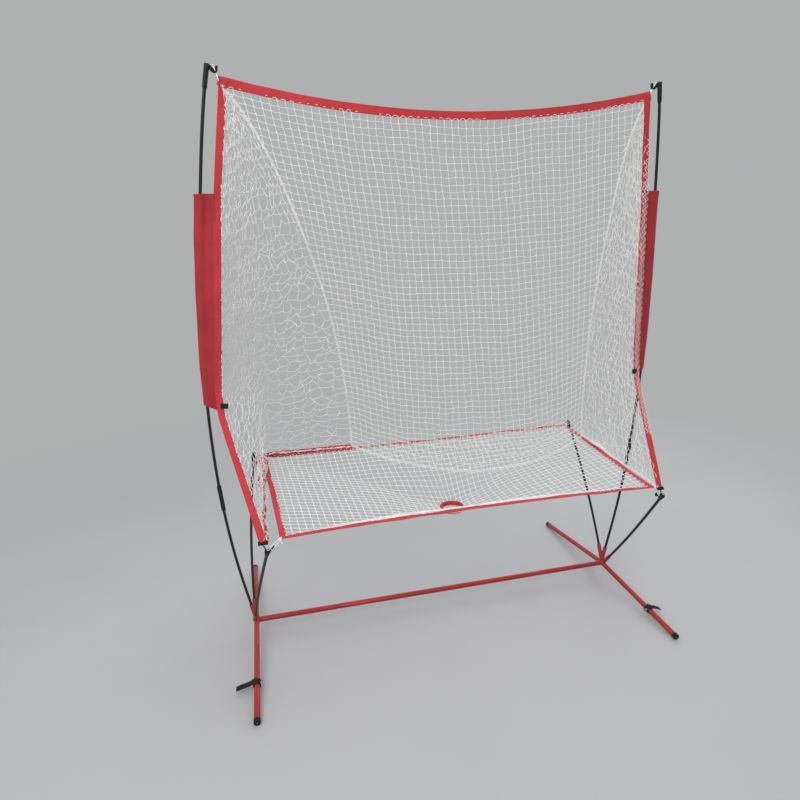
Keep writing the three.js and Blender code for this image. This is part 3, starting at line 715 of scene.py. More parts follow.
def bow_line(word):
    """The whole bow's centreline, from its seat in the hub to the top of its hook."""
    measured = np.concatenate([centres(f"{word}_{part}", 2, 3 * POLE_R, count)
                               for part, count in (("bow_lower", 10), ("bow_upper", 26), ("top_hook", 4))])
    measured = measured[np.argsort(measured[:, 2])]
    bottom = run_to_ends(centres(f"{word}_bow_lower", 2, 3 * POLE_R, 8), f"{word}_bow_lower", 2, POLE_R)[0]
    collar = run_to_ends(centres(f"{word}_bow_upper", 2, 3 * POLE_R, 12), f"{word}_bow_upper", 2, POLE_R)[-1]
    measured = np.concatenate([[bottom], measured[measured[:, 2] < collar[2]], [collar]])
    heights = np.linspace(bottom[2], collar[2], 120)
    line = fitted(measured, 2, heights, 7)
    return np.concatenate([line, [line[-1] + unit(line[-1] - line[-2]) * 11 * MM]])


BOWS = {word: bow_line(word) for word, _ in SIDES}
TRAY_POLES = {(word, place): pole_line(word, f"{place}_tray_pole", 4)
              for word, _ in SIDES for place in ("front", "rear")}


def build_base():
    hollow_tube(CROSSBAR, TUBE_R, TUBE_BORE_R).build(
        "crossbar_tube", [STEEL], stands_for=["crossbar"], slot="red_steel")
    for number, (word, side) in enumerate(SIDES):
        hub = HUBS[word]
        shape = Shape()
        bar_mouth = CROSSBAR[0 if side < 0 else 1]
        for mouth in (bar_mouth, LEGS[word, "front"][0], LEGS[word, "rear"][0]):
            arm(shape, hub, mouth)
        ball(shape, hub, TUBE_R * 1.02, Y_AXIS)
        bar_axis = toward(hub, bar_mouth)
        weld_bead(shape, hub + bar_axis * TUBE_R * 1.02, bar_axis, TUBE_R * 0.93, number)
        for k, line in enumerate((BOWS[word], TRAY_POLES[word, "front"], TRAY_POLES[word, "rear"])):
            seat = line[0]
            mouth = at_distance(line, SOCKET_REACH)[0]
            axis = toward(seat, mouth)
            reach = np.linalg.norm(mouth - seat)
            low = 22 * MM
            path = np.array([seat - axis * low, mouth])
            stations = [(0, SOCKET_R), (low + reach - 0.8 * MM, SOCKET_R), (low + reach, SOCKET_R - 0.7 * MM),
                        (low + reach, POLE_R + 0.6 * MM), (low + reach - 7 * MM, POLE_R + 0.5 * MM)]
            turned(shape, path, stations, 32)
            across = seat - axis * ((seat - hub) @ axis)
            root = across + axis * TUBE_R * 1.05
            weld_bead(shape, root, axis, SOCKET_R * 0.98, 5 * k + number)
        shape.build(f"{word}_hub_weldment", [STEEL], stands_for=[f"{word}_hub"], slot="red_steel")
        for place in ("front", "rear"):
            body = f"{word}_{place}_leg_assembly"
            mouth, end = LEGS[word, place]
            hollow_tube([mouth, end], TUBE_R, TUBE_BORE_R).build(
                f"{word}_{place}_leg_tube", [STEEL], body, [f"{word}_{place}_leg"], "red_steel")
            build_leg_cap(word, place, body, end, toward(mouth, end))


def build_leg_cap(word, place, body, tube_end, outward):
    """A moulded cap: gripped in the tube, with a raised collar, a recessed end and a flat underside."""
    head, r = CAP_HEAD, CAP_R
    stations = [(-15 * MM, STUB_R - 1 * MM), (-14 * MM, STUB_R), (-0.2 * MM, STUB_R), (0.3 * MM, STUB_R),
                (0.35 * MM, r - 0.9 * MM), (0.9 * MM, r - 0.1 * MM), (1.6 * MM, r), (4.6 * MM, r),
                (5.0 * MM, r - 0.7 * MM), (6.2 * MM, r - 0.7 * MM), (6.6 * MM, r - 0.1 * MM),
                (head - 2.4 * MM, r - 0.1 * MM), (head - 1.2 * MM, r - 0.5 * MM),
                (head - 0.4 * MM, r - 1.4 * MM), (head - 0.05 * MM, r - 2.6 * MM),
                (head - 0.05 * MM, 7.4 * MM), (head - 0.6 * MM, 6.8 * MM),
                (head - 2.8 * MM, 6.3 * MM), (head - 3.0 * MM, 5.6 * MM), (head - 3.0 * MM, 2.6 * MM),
                (head - 1.2 * MM, 2.2 * MM), (head - 1.0 * MM, 1.6 * MM)]
    shape = Shape()
    turned(shape, np.array([tube_end, tube_end + outward * head]), stations, 48, end_paint=1)
    for points in shape.points:
        points[:, 2] = np.maximum(points[:, 2], 0.02 * MM)
    shape.build(f"{word}_{place}_leg_cap_moulded", [PLASTIC, POLE_END], body,
                [f"{word}_{place}_leg_cap"], "black_plastic")


# ---- Poles and hooks ----


def pole_with_grey_ends(name, line, start, end, node):
    """A pole whose cut ends are painted as bare fibre."""
    shape = Shape()
    b = 0.5 * MM
    long = np.arange(start + b, end - b, 12 * MM)
    stations = [(start, POLE_R - b)] + [(s, POLE_R) for s in long] + [(end - b, POLE_R), (end, POLE_R - b)]
    turned(shape, line, stations, 28, start_paint=1, end_paint=1)
    # a black disc in each end, painted shade standing in for the inside of a short blind bore, seen as a dark
    # spot in the pale ring
    for at, inward in ((start, 1), (end, -1)):
        plug = [(at - inward * 0.15 * MM, POLE_BORE_R), (at + inward * 1 * MM, POLE_BORE_R * 0.9)]
        turned(shape, line, sorted(plug), 20, paint=2)
    return shape.build(name, [FIBREGLASS, POLE_END, PLASTIC], "frame", [node], "black_fibreglass")


def hook_frame(line, corner):
    """Where a hook sits: its end, its pole's direction, and the pull of the loop towards the net."""
    end = line[-1]
    up = unit(line[-1] - line[-3])
    pull = corner - end
    reach = unit(pull - (pull @ up) * up)
    return end, up, reach, np.cross(reach, up)


HOOK_LINE = [(-1, -4), (6, -7), (14, -12), (21, -16.4), (26, -16.4), (28.8, -12), (29, -5), (28.6, 1.4)]
HOOK_THICK = [12, 12, 11.5, 10.5, 9.5, 8.6, 7.8, 7.0]
HOOK_DEPTH = 11


def hook_arm(shape, place, size):
    """The moulded arm: it leaves the collar, slopes down towards the net and turns up at its tip."""
    end, up, reach, depth = place
    path2 = smooth_through([(x, y, 0) for x, y in HOOK_LINE], 6)[:, :2] * size * MM
    thick = np.interp(np.linspace(0, 1, len(path2)), np.linspace(0, 1, len(HOOK_THICK)), HOOK_THICK)
    path = end + path2[:, :1] * reach + path2[:, 1:] * up
    _, wide, through = frames(path, depth)
    shrink = np.ones(len(path))
    shrink[-1], shrink[-2] = 0.55, 0.86
    rings = []
    for p, w, t, k, d in zip(path, wide, through, thick, shrink):
        outline = flat_outline(HOOK_DEPTH * size * MM * d, k * size * MM * d, 24, 4.0)
        rings.append(p + outline[:, :1] * w + outline[:, 1:] * t)
    shape.loft(rings)


def build_top_hook(word, corner):
    line = BOWS[word]
    total = lengths(line)[-1]
    start = total - TOP_HOOK_LENGTH
    shape = Shape()
    r = HOOK_R
    stations = [(start + 6 * MM, POLE_R + 0.3 * MM), (start, POLE_R + 0.4 * MM), (start, r - 1.6 * MM),
                (start + 1 * MM, r - 0.9 * MM), (start + 9 * MM, r - 0.6 * MM),
                (start + 9.6 * MM, r - 1.1 * MM), (start + 11.4 * MM, r - 1.1 * MM),
                (start + 12 * MM, r - 0.6 * MM), (start + 50 * MM, r - 0.2 * MM),
                (total - 3 * MM, r), (total - 1.2 * MM, r - 0.7 * MM), (total - 0.3 * MM, r - 2.2 * MM),
                (total, r - 4.4 * MM)]
    turned(shape, line, stations, 36)
    place = hook_frame(line, corner)
    hook_arm(shape, place, 1)
    shape.build(f"{word}_top_hook_moulded", [PLASTIC], "frame", [f"{word}_top_hook"], "black_plastic")
    return place


def build_tray_hook(word, place_name, corner):
    line = TRAY_POLES[word, place_name]
    total = lengths(line)[-1] - POLE_SHOWING
    line = at_distance(line, np.linspace(0, total, 60))
    start = total - TRAY_HOOK_LENGTH
    shape = Shape()
    r = HOOK_R
    stations = [(start, POLE_R + 0.35 * MM), (start, r - 1.2 * MM), (start + 0.8 * MM, r - 0.4 * MM),
                (start + 7 * MM, r - 0.2 * MM), (start + 7.5 * MM, r - 0.8 * MM),
                (start + 9 * MM, r - 0.8 * MM),
                (start + 9.5 * MM, r - 0.1 * MM), (total - 1.5 * MM, r), (total - 0.4 * MM, r - 0.6 * MM),
                (total, r - 1.4 * MM), (total, POLE_R + 0.35 * MM)]
    turned(shape, line, stations, 32, looped=True)
    place = hook_frame(line, corner)
    hook_arm(shape, place, TRAY_HOOK_SIZE)
    shape.build(f"{word}_{place_name}_tray_hook_moulded", [PLASTIC], "frame",
                [f"{word}_{place_name}_tray_hook"], "black_plastic")
    return place


def build_bow(word):
    line = BOWS[word]
    run = lengths(line)
    low_node, high_node = f"{word}_bow_lower", f"{word}_bow_upper"
    joint = np.interp((low_high(low_node, 2)[1] + low_high(high_node, 2)[0]) / 2, line[:, 2], run)
    top = run[-1] - 11 * MM
    pole_with_grey_ends(f"{word}_bow_lower_pole", line, 0, joint - 0.4 * MM, low_node)
    pole_with_grey_ends(f"{word}_bow_upper_pole", line, joint + 0.4 * MM, top, high_node)
    low, high = low_high(f"{word}_bow_ferrule", 2)
    start, end = np.interp([low, high], line[:, 2], run)
    r = FERRULE_R
    bore = POLE_R + 0.3 * MM
    stations = [(start, bore), (start, r - 0.8 * MM), (start + 0.7 * MM, r)]
    for crimp in (start + 9 * MM, end - 11 * MM):
        stations += [(crimp, r), (crimp + 0.6 * MM, r - 0.5 * MM),
                     (crimp + 1.6 * MM, r - 0.5 * MM), (crimp + 2.2 * MM, r)]
    stations += [(end - 0.7 * MM, r), (end, r - 0.8 * MM), (end, bore)]
    shape = Shape()
    turned(shape, line, stations, 36, looped=True)
    shape.build(f"{word}_bow_ferrule_sleeve", [FIBREGLASS], "frame", [f"{word}_bow_ferrule"], "black_ferrule")


# ---- Edges of the nets, read from the frame ----


def run_on(line, start, end):
    """A line lengthened at its ends."""
    return np.concatenate([[line[0] - unit(line[1] - line[0]) * start], line,
                           [line[-1] + unit(line[-1] - line[-2]) * end]])


TOP_LINE = fitted(centres("top_binding", 0, 20 * MM, 40), 0,
                  np.linspace(*low_high("top_binding", 0), 240), 4)
TOP_WIDTH = np.ptp(section("top_binding", 0, 0.01)[:, 2])
SIDE_WIDTH = 25 * MM
BAND_LAP = 16 * MM  # a side binding's end, sewn behind the top binding


def side_band(word):
    """Middle line of a side binding from its top to its foot, softened at its two bends."""
    node = f"{word}_side_binding"
    low, high = low_high(node, 2)
    margin = 9 * MM
    line = np.array([middle(section(node, 2, z)) for z in np.linspace(high - margin, low + margin, 90)])
    line = run_on(line, margin + BAND_LAP, margin + 7 * MM)
    line[1:-1] = (line[:-2] + 2 * line[1:-1] + line[2:]) / 4
    return line


SIDE_BANDS = {word: side_band(word) for word, _ in SIDES}


def seam_line(side):
    """The back panel's outer edge from the top down."""
    low, high = low_high("back_netting", 2)
    points = []
    for z in np.linspace(high - 120 * MM, low + 130 * MM, 40):
        cut = section("back_netting", 2, z)
        edge = (cut[:, 0] * side).max()
        near = cut[cut[:, 0] * side > edge - 4 * MM]
        points.append(near.mean(0))
    return np.array(points)


def top_edge(share):
    """Lower edge of the top binding, as a point for each share of the way from left to right."""
    total = lengths(TOP_LINE)[-1]
    points = at_distance(TOP_LINE, np.clip(share, 0, 1) * total)
    return points - Z_AXIS * (TOP_WIDTH / 2 - 2 * MM)


def hem_line():
    """The back panel's lower edge, lying over the tray, from left to right."""
    left, right = SEAMS["left"][-1], SEAMS["right"][-1]
    points = [left]
    for x in np.linspace(left[0] + 40 * MM, right[0] - 40 * MM, 24):
        cut = section("back_netting", 0, x)
        points.append(cut[cut[:, 2].argmin()])
    points.append(right)
    points = np.array(points)
    for _ in range(2):
        points[1:-1] = (points[:-2] + 2 * points[1:-1] + points[2:]) / 4
    return points


def seam_foot(side):
    """The back panel's lower outer corner."""
    points = np.array([v.co for v in frame["nodes"]["back_netting"].data.vertices])
    return points[(side * points[:, 0] - 0.6 * points[:, 2]).argmax()]


def full_seam(side):
    line = seam_line(side)
    corner = top_edge(np.array([0.008 if side < 0 else 0.992]))[0]
    foot = seam_foot(side)
    measured = np.concatenate([[corner] * 4, line, [foot] * 4])
    return fitted(measured, 2, np.linspace(corner[2], foot[2], 160), 6)


SEAMS = {word: full_seam(side) for word, side in SIDES}
HEM = hem_line()


def along_share(line, share):
    """Points at shares of a line's length."""
    return at_distance(line, np.asarray(share) * lengths(line)[-1])


class BackPanel:
    """The back panel's surface: a goes from the left seam to the right one, b from the top to the hem."""

    def __init__(self):
        self.belly = 0.0
        here = self.surface(np.array([0.5]), np.array([0.5]))[0]
        cut = section("back_netting", 2, here[2])
        order = np.argsort(cut[:, 0])
        self.belly = np.interp(here[0], cut[order, 0], cut[order, 1]) - here[1]

    def surface(self, a, b):
        a, b = np.broadcast_arrays(a, b)
        shape = a.shape
        a, b = a.ravel()[:, None], b.ravel()[:, None]
        left, right = along_share(SEAMS["left"], b[:, 0]), along_share(SEAMS["right"], b[:, 0])
        point = lerp(left, right, a)
        top_chord = lerp(SEAMS["left"][0], SEAMS["right"][0], a)
        low_chord = lerp(SEAMS["left"][-1], SEAMS["right"][-1], a)
        point = point + (top_edge(lerp(0.008, 0.992, a[:, 0])) - top_chord) * (1 - b)
        point = point + (along_share(HEM, a[:, 0]) - low_chord) * b
        point[:, 1] += self.belly * bump(a[:, 0]) * bump(b[:, 0])
        return point.reshape(*shape, 3)

    def width(self, b):
        return np.linalg.norm(along_share(SEAMS["right"], b) - along_share(SEAMS["left"], b), axis=1)


# ---- Netting ----


def noise_field(points, scale, seed):
    """A smooth random vector for each point."""
    flat = points.reshape(-1, 3)
    out = np.array([noise.noise_vector(Vector((p * scale).tolist()) + Vector((seed * 5.7, seed * 3.3, 0)))
                    for p in flat])
    return out.reshape(points.shape)


def strand(nodes, droop, rng, cuts=4, loose=0.0):
    """A twine through knots: each span droops along droop by a random share, and wanders by loose."""
    nodes = np.asarray(nodes, float)
    spans = len(nodes) - 1
    t = np.arange(cuts) / cuts
    amount = rng.uniform(0.35, 1.25, spans)
    offset = amount[:, None] * np.broadcast_to(droop, (spans, 3)) + loose * rng.normal(size=(spans, 3))
    flat = nodes[:-1, None] + (nodes[1:] - nodes[:-1])[:, None] * t[None, :, None]
    flat = flat + bump(t)[None, :, None] * offset[:, None]
    path = np.concatenate([flat.reshape(-1, 3), nodes[-1:]])
    swell = np.tile(np.where(t == 0, 1.45, 0.95), spans)
    return path, np.append(swell, 1.2)


def weave_net(shape, points, inside, ends, droop, rng, radius, cuts, loose, sides=5):
    """Twines along the rows and columns of a grid of knots.

    points[j, k] are the knots and inside[j, k] says which exist. ends["row"](j) and ends["column"](k) are
    functions of a run's first and last knot that give the points where the twine meets the panel's edges.
    """
    rows, columns = inside.shape
    for j in range(rows):
        put_strands(shape, points[j], inside[j], ends["row"](j), droop[0], rng, radius, cuts, loose, sides)
    for k in range(columns):
        put_strands(shape, points[:, k], inside[:, k], ends["column"](k), droop[1],
                    rng, radius, cuts, loose, sides)


def put_strands(shape, line, there, end_points, droop, rng, radius, cuts, loose, sides):
    """One twine, or several where a hole breaks it. end_points(first, last) gives its two ends, or None."""
    index = np.flatnonzero(there)
    if not len(index):
        return
    for run in np.split(index, np.flatnonzero(np.diff(index) > 1) + 1):
        first, last = end_points(run[0], run[-1])
        nodes = [p for p in (first, *(line[i] for i in run), last) if p is not None]
        if len(nodes) < 2:
            continue
        path, swell = strand(nodes, droop, rng, cuts, loose)
        shape.loft(rings_along(path, radius * swell, sides))


def build_back_netting():
    panel = BackPanel()
    rng = np.random.default_rng(11)
    height = (lengths(SEAMS["left"])[-1] + lengths(SEAMS["right"])[-1]) / 2
    rows = int(round(height / BACK_MESH))
    b = np.arange(1, rows) / rows
    widths = panel.width(b)
    reach = int(panel.width(np.array([0.0]))[0] / BACK_MESH / 2)
    k = np.arange(-reach, reach + 1)

    def share_at(b_value, k_value):
        return 0.5 + k_value * BACK_MESH / panel.width(np.atleast_1d(b_value))

    a = 0.5 + k[None] * BACK_MESH / widths[:, None]
    inside = (a > 0.25 * BACK_MESH / widths[:, None]) & (a < 1 - 0.25 * BACK_MESH / widths[:, None])
    b_grid = np.broadcast_to(b[:, None], a.shape)
    points = panel.surface(np.clip(a, 0, 1), b_grid)
    points = ruffled(points, np.clip(a, 0, 1), b_grid, rng)
    left, right = panel.surface(np.zeros(len(b)), b), panel.surface(np.ones(len(b)), b)

    def row_ends(j):
        return lambda first, last: (left[j], right[j])

    def column_ends(c):
        def ends(first, last):
            start = panel.surface(share_at(0.0, k[c]), np.array([0.0]))[0]
            if last == len(b) - 1:
                finish = panel.surface(np.clip(share_at(1.0, k[c]), 0, 1), np.array([1.0]))[0]
            else:
                side_share = np.array([0.0 if k[c] < 0 else 1.0])
                finish = panel.surface(side_share, b[last:last + 1] + 0.5 / rows)[0]
            return (start if first == 0 else None), finish
        return ends

    shape = Shape()
    droop = (np.array([0, 0, -2.4 * MM]), np.array([0.5 * MM, 0, 0]))
    ends = {"row": row_ends, "column": column_ends}
    weave_net(shape, points, inside, ends, droop, rng, STRAND_R, 4, 0.7 * MM)
    shape.build("back_netting_twine", [NETTING], stands_for=["back_netting"], slot="white_netting")
    return panel


def ruffled(points, a, b, rng):
    """Soft hanging folds, loose knots, and more slack near the hem."""
    hold = (bump(np.clip(a, 0, 1)) ** 0.35)[..., None]
    slack = (0.25 + 1.3 * np.clip((b - 0.5) / 0.5, 0, 1) ** 2)[..., None]
    folds = noise_field(points * (1, 1, 0.45), 5.0, 1) * 22 * MM
    small = noise_field(points, 16.0, 2) * 9 * MM
    tiny = rng.normal(size=points.shape) * 1.3 * MM
    folds[..., 0] *= 0.3
    small[..., 0] *= 0.5
    return points + hold * (0.6 * folds + slack * small + (0.6 + slack) * tiny)


def foot_path(word, side):
    """The lower edge of a side panel, from the pocket's low corner to its seam."""
    band = SIDE_BANDS[word]
    start = band[-1] - X_AXIS * side * SIDE_WIDTH * 0.35
    finish = SEAMS[word][-1]
    if side > 0:
        return resampled(np.array([start, finish]), 10 * MM)
    corner = TRAY.corner("rear", side) + np.array([-side * 6 * MM, -12 * MM, 15 * MM])
    path = resampled(np.array([start, corner, finish]), 10 * MM)
    for _ in range(4):
        path[1:-1] = (path[:-2] + 2 * path[1:-1] + path[2:]) / 4
    return path


class Tray:
    """The tray's edge and the net's surface, read from the binding and the netting."""

    def __init__(self):
        low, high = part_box("tray_binding")
        front_y, rear_y = low[1], high[1]
        near_front = section("tray_binding", 1, front_y + 4 * MM)
        near_rear = section("tray_binding", 1, rear_y - 4 * MM)
        self.front = np.array([near_front[:, 0].max(), front_y, near_front[:, 2].mean()])
        self.rear = np.array([near_rear[:, 0].max(), rear_y, near_rear[:, 2].mean()])
        middle_cut = section("tray_binding", 0, 0.5 * MM)
        front_cut, rear_cut = middle_cut[middle_cut[:, 1] < 0], middle_cut[middle_cut[:, 1] > 0]
        self.width = np.ptp(front_cut[:, 1])
        self.pull_front = front_cut[:, 1].min() - front_y
        self.pull_rear = rear_y - rear_cut[:, 1].max()
        mid_y = (front_y + rear_y) / 2
        side_cut = section("tray_binding", 1, mid_y)
        self.pull_side = (self.front[0] + self.rear[0]) / 2 - side_cut[:, 0].max()
        ring_low, ring_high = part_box("drop_ring")
        self.ring = np.array((ring_low + ring_high) / 2)
        self.ring_reach = (ring_high[0] - ring_low[0]) / 2
        self.ring_half_height = (ring_high[2] - ring_low[2]) / 2

    def corner(self, place, side):
        point = (self.front if place == "front" else self.rear).copy()
        point[0] *= side
        return point

    def edge(self, k, t, inset):
        """A point on side k (front, right, rear, left), t of the way along it, moved inwards."""
        corners = [self.corner("front", -1) + (inset, inset, 0), self.corner("front", 1) + (-inset, inset, 0),
                   self.corner("rear", 1) + (-inset, -inset, 0), self.corner("rear", -1) + (inset, -inset, 0)]
        pull = [(0, self.pull_front, 0), (-self.pull_side, 0, 0),
                (0, -self.pull_rear, 0), (self.pull_side, 0, 0)][k]
        t = np.asarray(t)[..., None]
        return lerp(corners[k], corners[(k + 1) % 4], t) + bump(t) * np.array(pull)


TRAY = Tray()


def build_tray():
    shape = Shape()
    per_side = 110
    t = np.arange(per_side) / per_side
    outer = np.concatenate([TRAY.edge(k, t, 0) for k in range(4)])
    inner = np.concatenate([TRAY.edge(k, t, TRAY.width) for k in range(4)])
    outline = flat_outline(1.0, WEB, 18)
    run = lengths(outer)
    wave = np.array([noise.noise(Vector((s * 8, 3.3, 1))) for s in run]) * 2.2 * MM
    tilt = np.array([noise.noise(Vector((s * 11, 8.3, 1))) for s in run]) * 2.0 * MM
    rings = lerp(inner[:, None], outer[:, None], outline[None, :, :1] + 0.5)
    lift = outline[None, :, 1] + wave[:, None] + tilt[:, None] * 2 * outline[None, :, 0]
    rings[..., 2] += lift
    shape.loft(rings, looped=True)
    for k in range(4):
        share = np.linspace(0, 1, 120)
        for inset in (3.5 * MM, TRAY.width - 3.5 * MM):
            path = TRAY.edge(k, share, inset)
            start = k * per_side
            local = np.interp(share * per_side, np.arange(per_side), wave[start:start + per_side])
            lean = np.interp(share * per_side, np.arange(per_side), tilt[start:start + per_side])
            path[:, 2] += local + lean * (1 if inset < 5 * MM else -1) + WEB / 2
            stitch_row(shape, path[1:-1], Z_AXIS, 0, 0, 1)
    shape.build("tray_binding_tape", [LIT_FABRIC, RED_THREAD], stands_for=["tray_binding"], slot="red_fabric")
    build_drop_ring()
    build_tray_netting()


def build_drop_ring():
    count, around = 160, 24
    turn = np.linspace(0, 2 * math.pi, count, endpoint=False)
    half_width = 5.5 * MM
    radius = TRAY.ring_reach - half_width
    ring = circle(around)
    ring = np.sign(ring) * np.abs(ring) ** 0.72
    pucker = 1 + 0.05 * np.cos(36 * turn) + 0.04 * np.cos(23 * turn + 1)
    outward = np.stack([np.cos(turn), np.sin(turn), 0 * turn], -1)
    sink = np.array([noise.noise(Vector((math.cos(a) * 2, math.sin(a) * 2, 9))) for a in turn]) * 2 * MM
    centre = TRAY.ring + outward * radius + Z_AXIS * sink[:, None] * 0.5
    rings = (centre[:, None] + ring[None, :, :1] * half_width * pucker[:, None, None] * outward[:, None]
             + ring[None, :, 1:] * TRAY.ring_half_height * pucker[:, None, None] * Z_AXIS)
    shape = Shape().loft(rings, looped=True)
    seam = centre + outward * (half_width * 0.2) + Z_AXIS * (TRAY.ring_half_height + 0.1 * MM)
    stitch_row(shape, seam, Z_AXIS, 0, 0, 1)
    shape.build("drop_ring_padded", [LIT_FABRIC, RED_THREAD], stands_for=["drop_ring"], slot="red_fabric")


def height_reader(node):
    """A function that gives the height of a node's upper face at (x, y), or None beside it."""
    from mathutils.bvhtree import BVHTree
    mesh = frame["nodes"][node].data
    corners = [v.co.copy() for v in mesh.vertices]
    tree = BVHTree.FromPolygons(corners, [tuple(p.vertices) for p in mesh.polygons])

    def height(x, y):
        hit = tree.ray_cast(Vector((x, y, 3)), Vector((0, 0, -1)))[0]
        return None if hit is None else hit.z
    return height


def build_tray_netting():
    rng = np.random.default_rng(5)
    height = height_reader("tray_netting")
    inset = TRAY.width - 3 * MM
    columns = int(round(2 * (TRAY.front[0] + TRAY.rear[0]) / 2 / TRAY_MESH))
    rows = int(round((TRAY.rear[1] - TRAY.front[1]) / TRAY_MESH))
    a, b = np.meshgrid(np.arange(1, columns) / columns, np.arange(1, rows) / rows)

    def surface(a, b):
        front, rear = TRAY.edge(0, a, inset), TRAY.edge(2, 1 - a, inset)
        right, left = TRAY.edge(1, b, inset), TRAY.edge(3, 1 - b, inset)
        corner = [TRAY.edge(k, np.array(0.0), inset) for k in range(4)]
        a, b = a[..., None], b[..., None]
        flat = (1 - b) * front + b * rear + (1 - a) * left + a * right
        return flat - ((1 - a) * (1 - b) * corner[0] + a * (1 - b) * corner[1]
                       + a * b * corner[2] + (1 - a) * b * corner[3])

    points = surface(a, b)
    arm_out = points[..., :2] - TRAY.ring[:2]
    distance = np.linalg.norm(arm_out, axis=-1)
    pull = 1 - 0.42 * np.exp(-((distance / 0.17) ** 1.5))
    points[..., :2] = TRAY.ring[:2] + arm_out * pull[..., None]
    distance = distance * pull
    attach = TRAY.ring_reach + 3 * MM
    inside = distance > attach + 4 * MM
    for j, k in zip(*np.nonzero(inside)):
        z = height(*points[j, k, :2])
        if z is not None:
            points[j, k, 2] = z - 1.5 * MM
        elif distance[j, k] < 0.1:  # over the gap round the ring, where there is no netting to read
            points[j, k, 2] = TRAY.ring[2]
    points += rng.normal(size=points.shape) * 0.7 * MM

    def to_ring(p):
        out = unit(p[:2] - TRAY.ring[:2])
        tied_at = TRAY.ring[:2] + out * (TRAY.ring_reach - 1.5 * MM)
        return np.append(tied_at, TRAY.ring[2] + rng.uniform(-4, 4) * MM)

    def ends_for(line, count, start, finish):
        return lambda first, last: (start if first == 0 else to_ring(line[first]),
                                    finish if last == count - 1 else to_ring(line[last]))

    def row_ends(j):
        share = np.array(b[j, 0])
        return ends_for(points[j], columns - 1, surface(np.array(0.0), share), surface(np.array(1.0), share))

    def column_ends(k):
        share = np.array(a[0, k])
        return ends_for(points[:, k], rows - 1, surface(share, np.array(0.0)), surface(share, np.array(1.0)))

    shape = Shape()
    droop = (np.array([0, 0, -0.8 * MM]), np.array([0, 0, -0.8 * MM]))
    ends = {"row": row_ends, "column": column_ends}
    weave_net(shape, points, inside, ends, droop, rng, STRAND_R, 3, 0.35 * MM)
    for k in range(4):
        edge = TRAY.edge(k, np.linspace(0, 1, 8 * int(1.4 / TRAY_MESH)), inset)
        lacing(shape, edge, Z_AXIS, TRAY_MESH, rng)
    turn = np.linspace(0, 2 * math.pi, 360, endpoint=False)
    wraps = 40
    hoop = TRAY.ring + np.stack([np.cos(turn), np.sin(turn), 0 * turn], -1) * (TRAY.ring_reach + 0.6 * MM) \
        + Z_AXIS * (5.5 * MM * np.cos(wraps * turn))[:, None]
    shape.loft(rings_along(hoop, 1.0 * MM, 5, Z_AXIS, closed=True), looped=True)
    shape.build("tray_netting_twine", [NETTING], stands_for=["tray_netting"], slot="white_netting")


def lacing(shape, edge, face, pitch, rng, bite=3.2 * MM, radius=1.0 * MM):
    """Twine that runs along a binding's edge and loops over it at every mesh."""
    total = lengths(edge)[-1]
    count = max(16, int(total / pitch) * 8)
    s = np.linspace(0, total, count)
    path = at_distance(edge, s)
    _, up, across = frames(path, face)
    phase = math.pi * s / pitch
    over = np.abs(np.sin(phase))
    jitter = 1 + 0.35 * np.interp(s, np.linspace(0, total, int(total / pitch) + 2),
                                  rng.normal(size=int(total / pitch) + 2))
    path = path + across * ((over * 2 - 1) * bite * jitter)[:, None] \
        + up * (1.6 * MM * np.cos(2 * phase))[:, None]
    shape.loft(rings_along(path, radius, 5))


def build_side_panel(word, side):
    rng = np.random.default_rng(21 if side < 0 else 22)
    band = SIDE_BANDS[word]
    band = at_distance(band, np.linspace(BAND_LAP + 10 * MM, lengths(band)[-1], 160))
    _, wide, _ = frames(band, X_AXIS)
    front = band - wide * side * (SIDE_WIDTH / 2 - 2 * MM)
    back = SEAMS[word]
    foot = foot_path(word, side)
    belly = 26 * MM * side

    def surface(u, v):
        u, v = np.broadcast_arrays(np.asarray(u, float), np.asarray(v, float))
        shape = u.shape
        u, v = u.ravel(), v.ravel()
        point = lerp(along_share(front, v), along_share(back, v), u[:, None])
        chord = lerp(front[-1], back[-1], u[:, None])
        point = point + (along_share(foot, u) - chord) * (v ** 2)[:, None]
        swell = bump(u) * bump(v) * belly
        return (point + np.stack([swell, np.abs(swell), 0 * swell], -1)).reshape(*shape, 3)

    u, v = np.meshgrid(np.arange(1, SIDE_COLUMNS) / SIDE_COLUMNS, np.arange(1, SIDE_ROWS) / SIDE_ROWS)
    u = np.clip(u + rng.normal(size=u.shape) * 0.012, 0.01, 0.99)
    v = np.clip(v + rng.normal(size=v.shape) * 0.004, 0.004, 0.996)
    points = surface(u, v)
    hold = (bump(u) ** 0.4 * bump(v) ** 0.3)[..., None]
    points = points + hold * (noise_field(points, 6.0, 3 + side) * 20 * MM
                              + noise_field(points, 22.0, 6 + side) * 12 * MM)
    inside = np.ones(u.shape, bool)

    def row_ends(j):
        share = (j + 1) / SIDE_ROWS
        return lambda first, last: (surface(0.0, share), surface(1.0, share))

    def column_ends(k):
        share = (k + 1) / SIDE_COLUMNS
        return lambda first, last: (surface(share, 0.0), surface(share, 1.0))

    shape = Shape()
    droop = (np.array([0, 0, -11 * MM]), np.array([4 * MM, 3 * MM, 0]))
    ends = {"row": row_ends, "column": column_ends}
    weave_net(shape, points, inside, ends, droop, rng, SIDE_STRAND_R, 6, 4.0 * MM)
    lacing(shape, resampled(front, 8 * MM), Y_AXIS, 45 * MM, rng, 5 * MM)
    if side > 0:
        for start, offset in ((27, -7 * MM), (20, 0), (12, 8 * MM)):
            covered = slice(start, 136)  # the net is gathered over this binding's face
            edge = band[covered] + wide[covered] * offset - Y_AXIS * 4 * MM
            lacing(shape, resampled(edge, 8 * MM), Y_AXIS, 26 * MM, rng, 6 * MM)
    build_seam_cords(shape, back, rng)
    shape.build(f"{word}_side_netting_twine", [NETTING], stands_for=[f"{word}_side_netting"],
                slot="white_netting")
    build_side_hem(word, side, foot, rng)


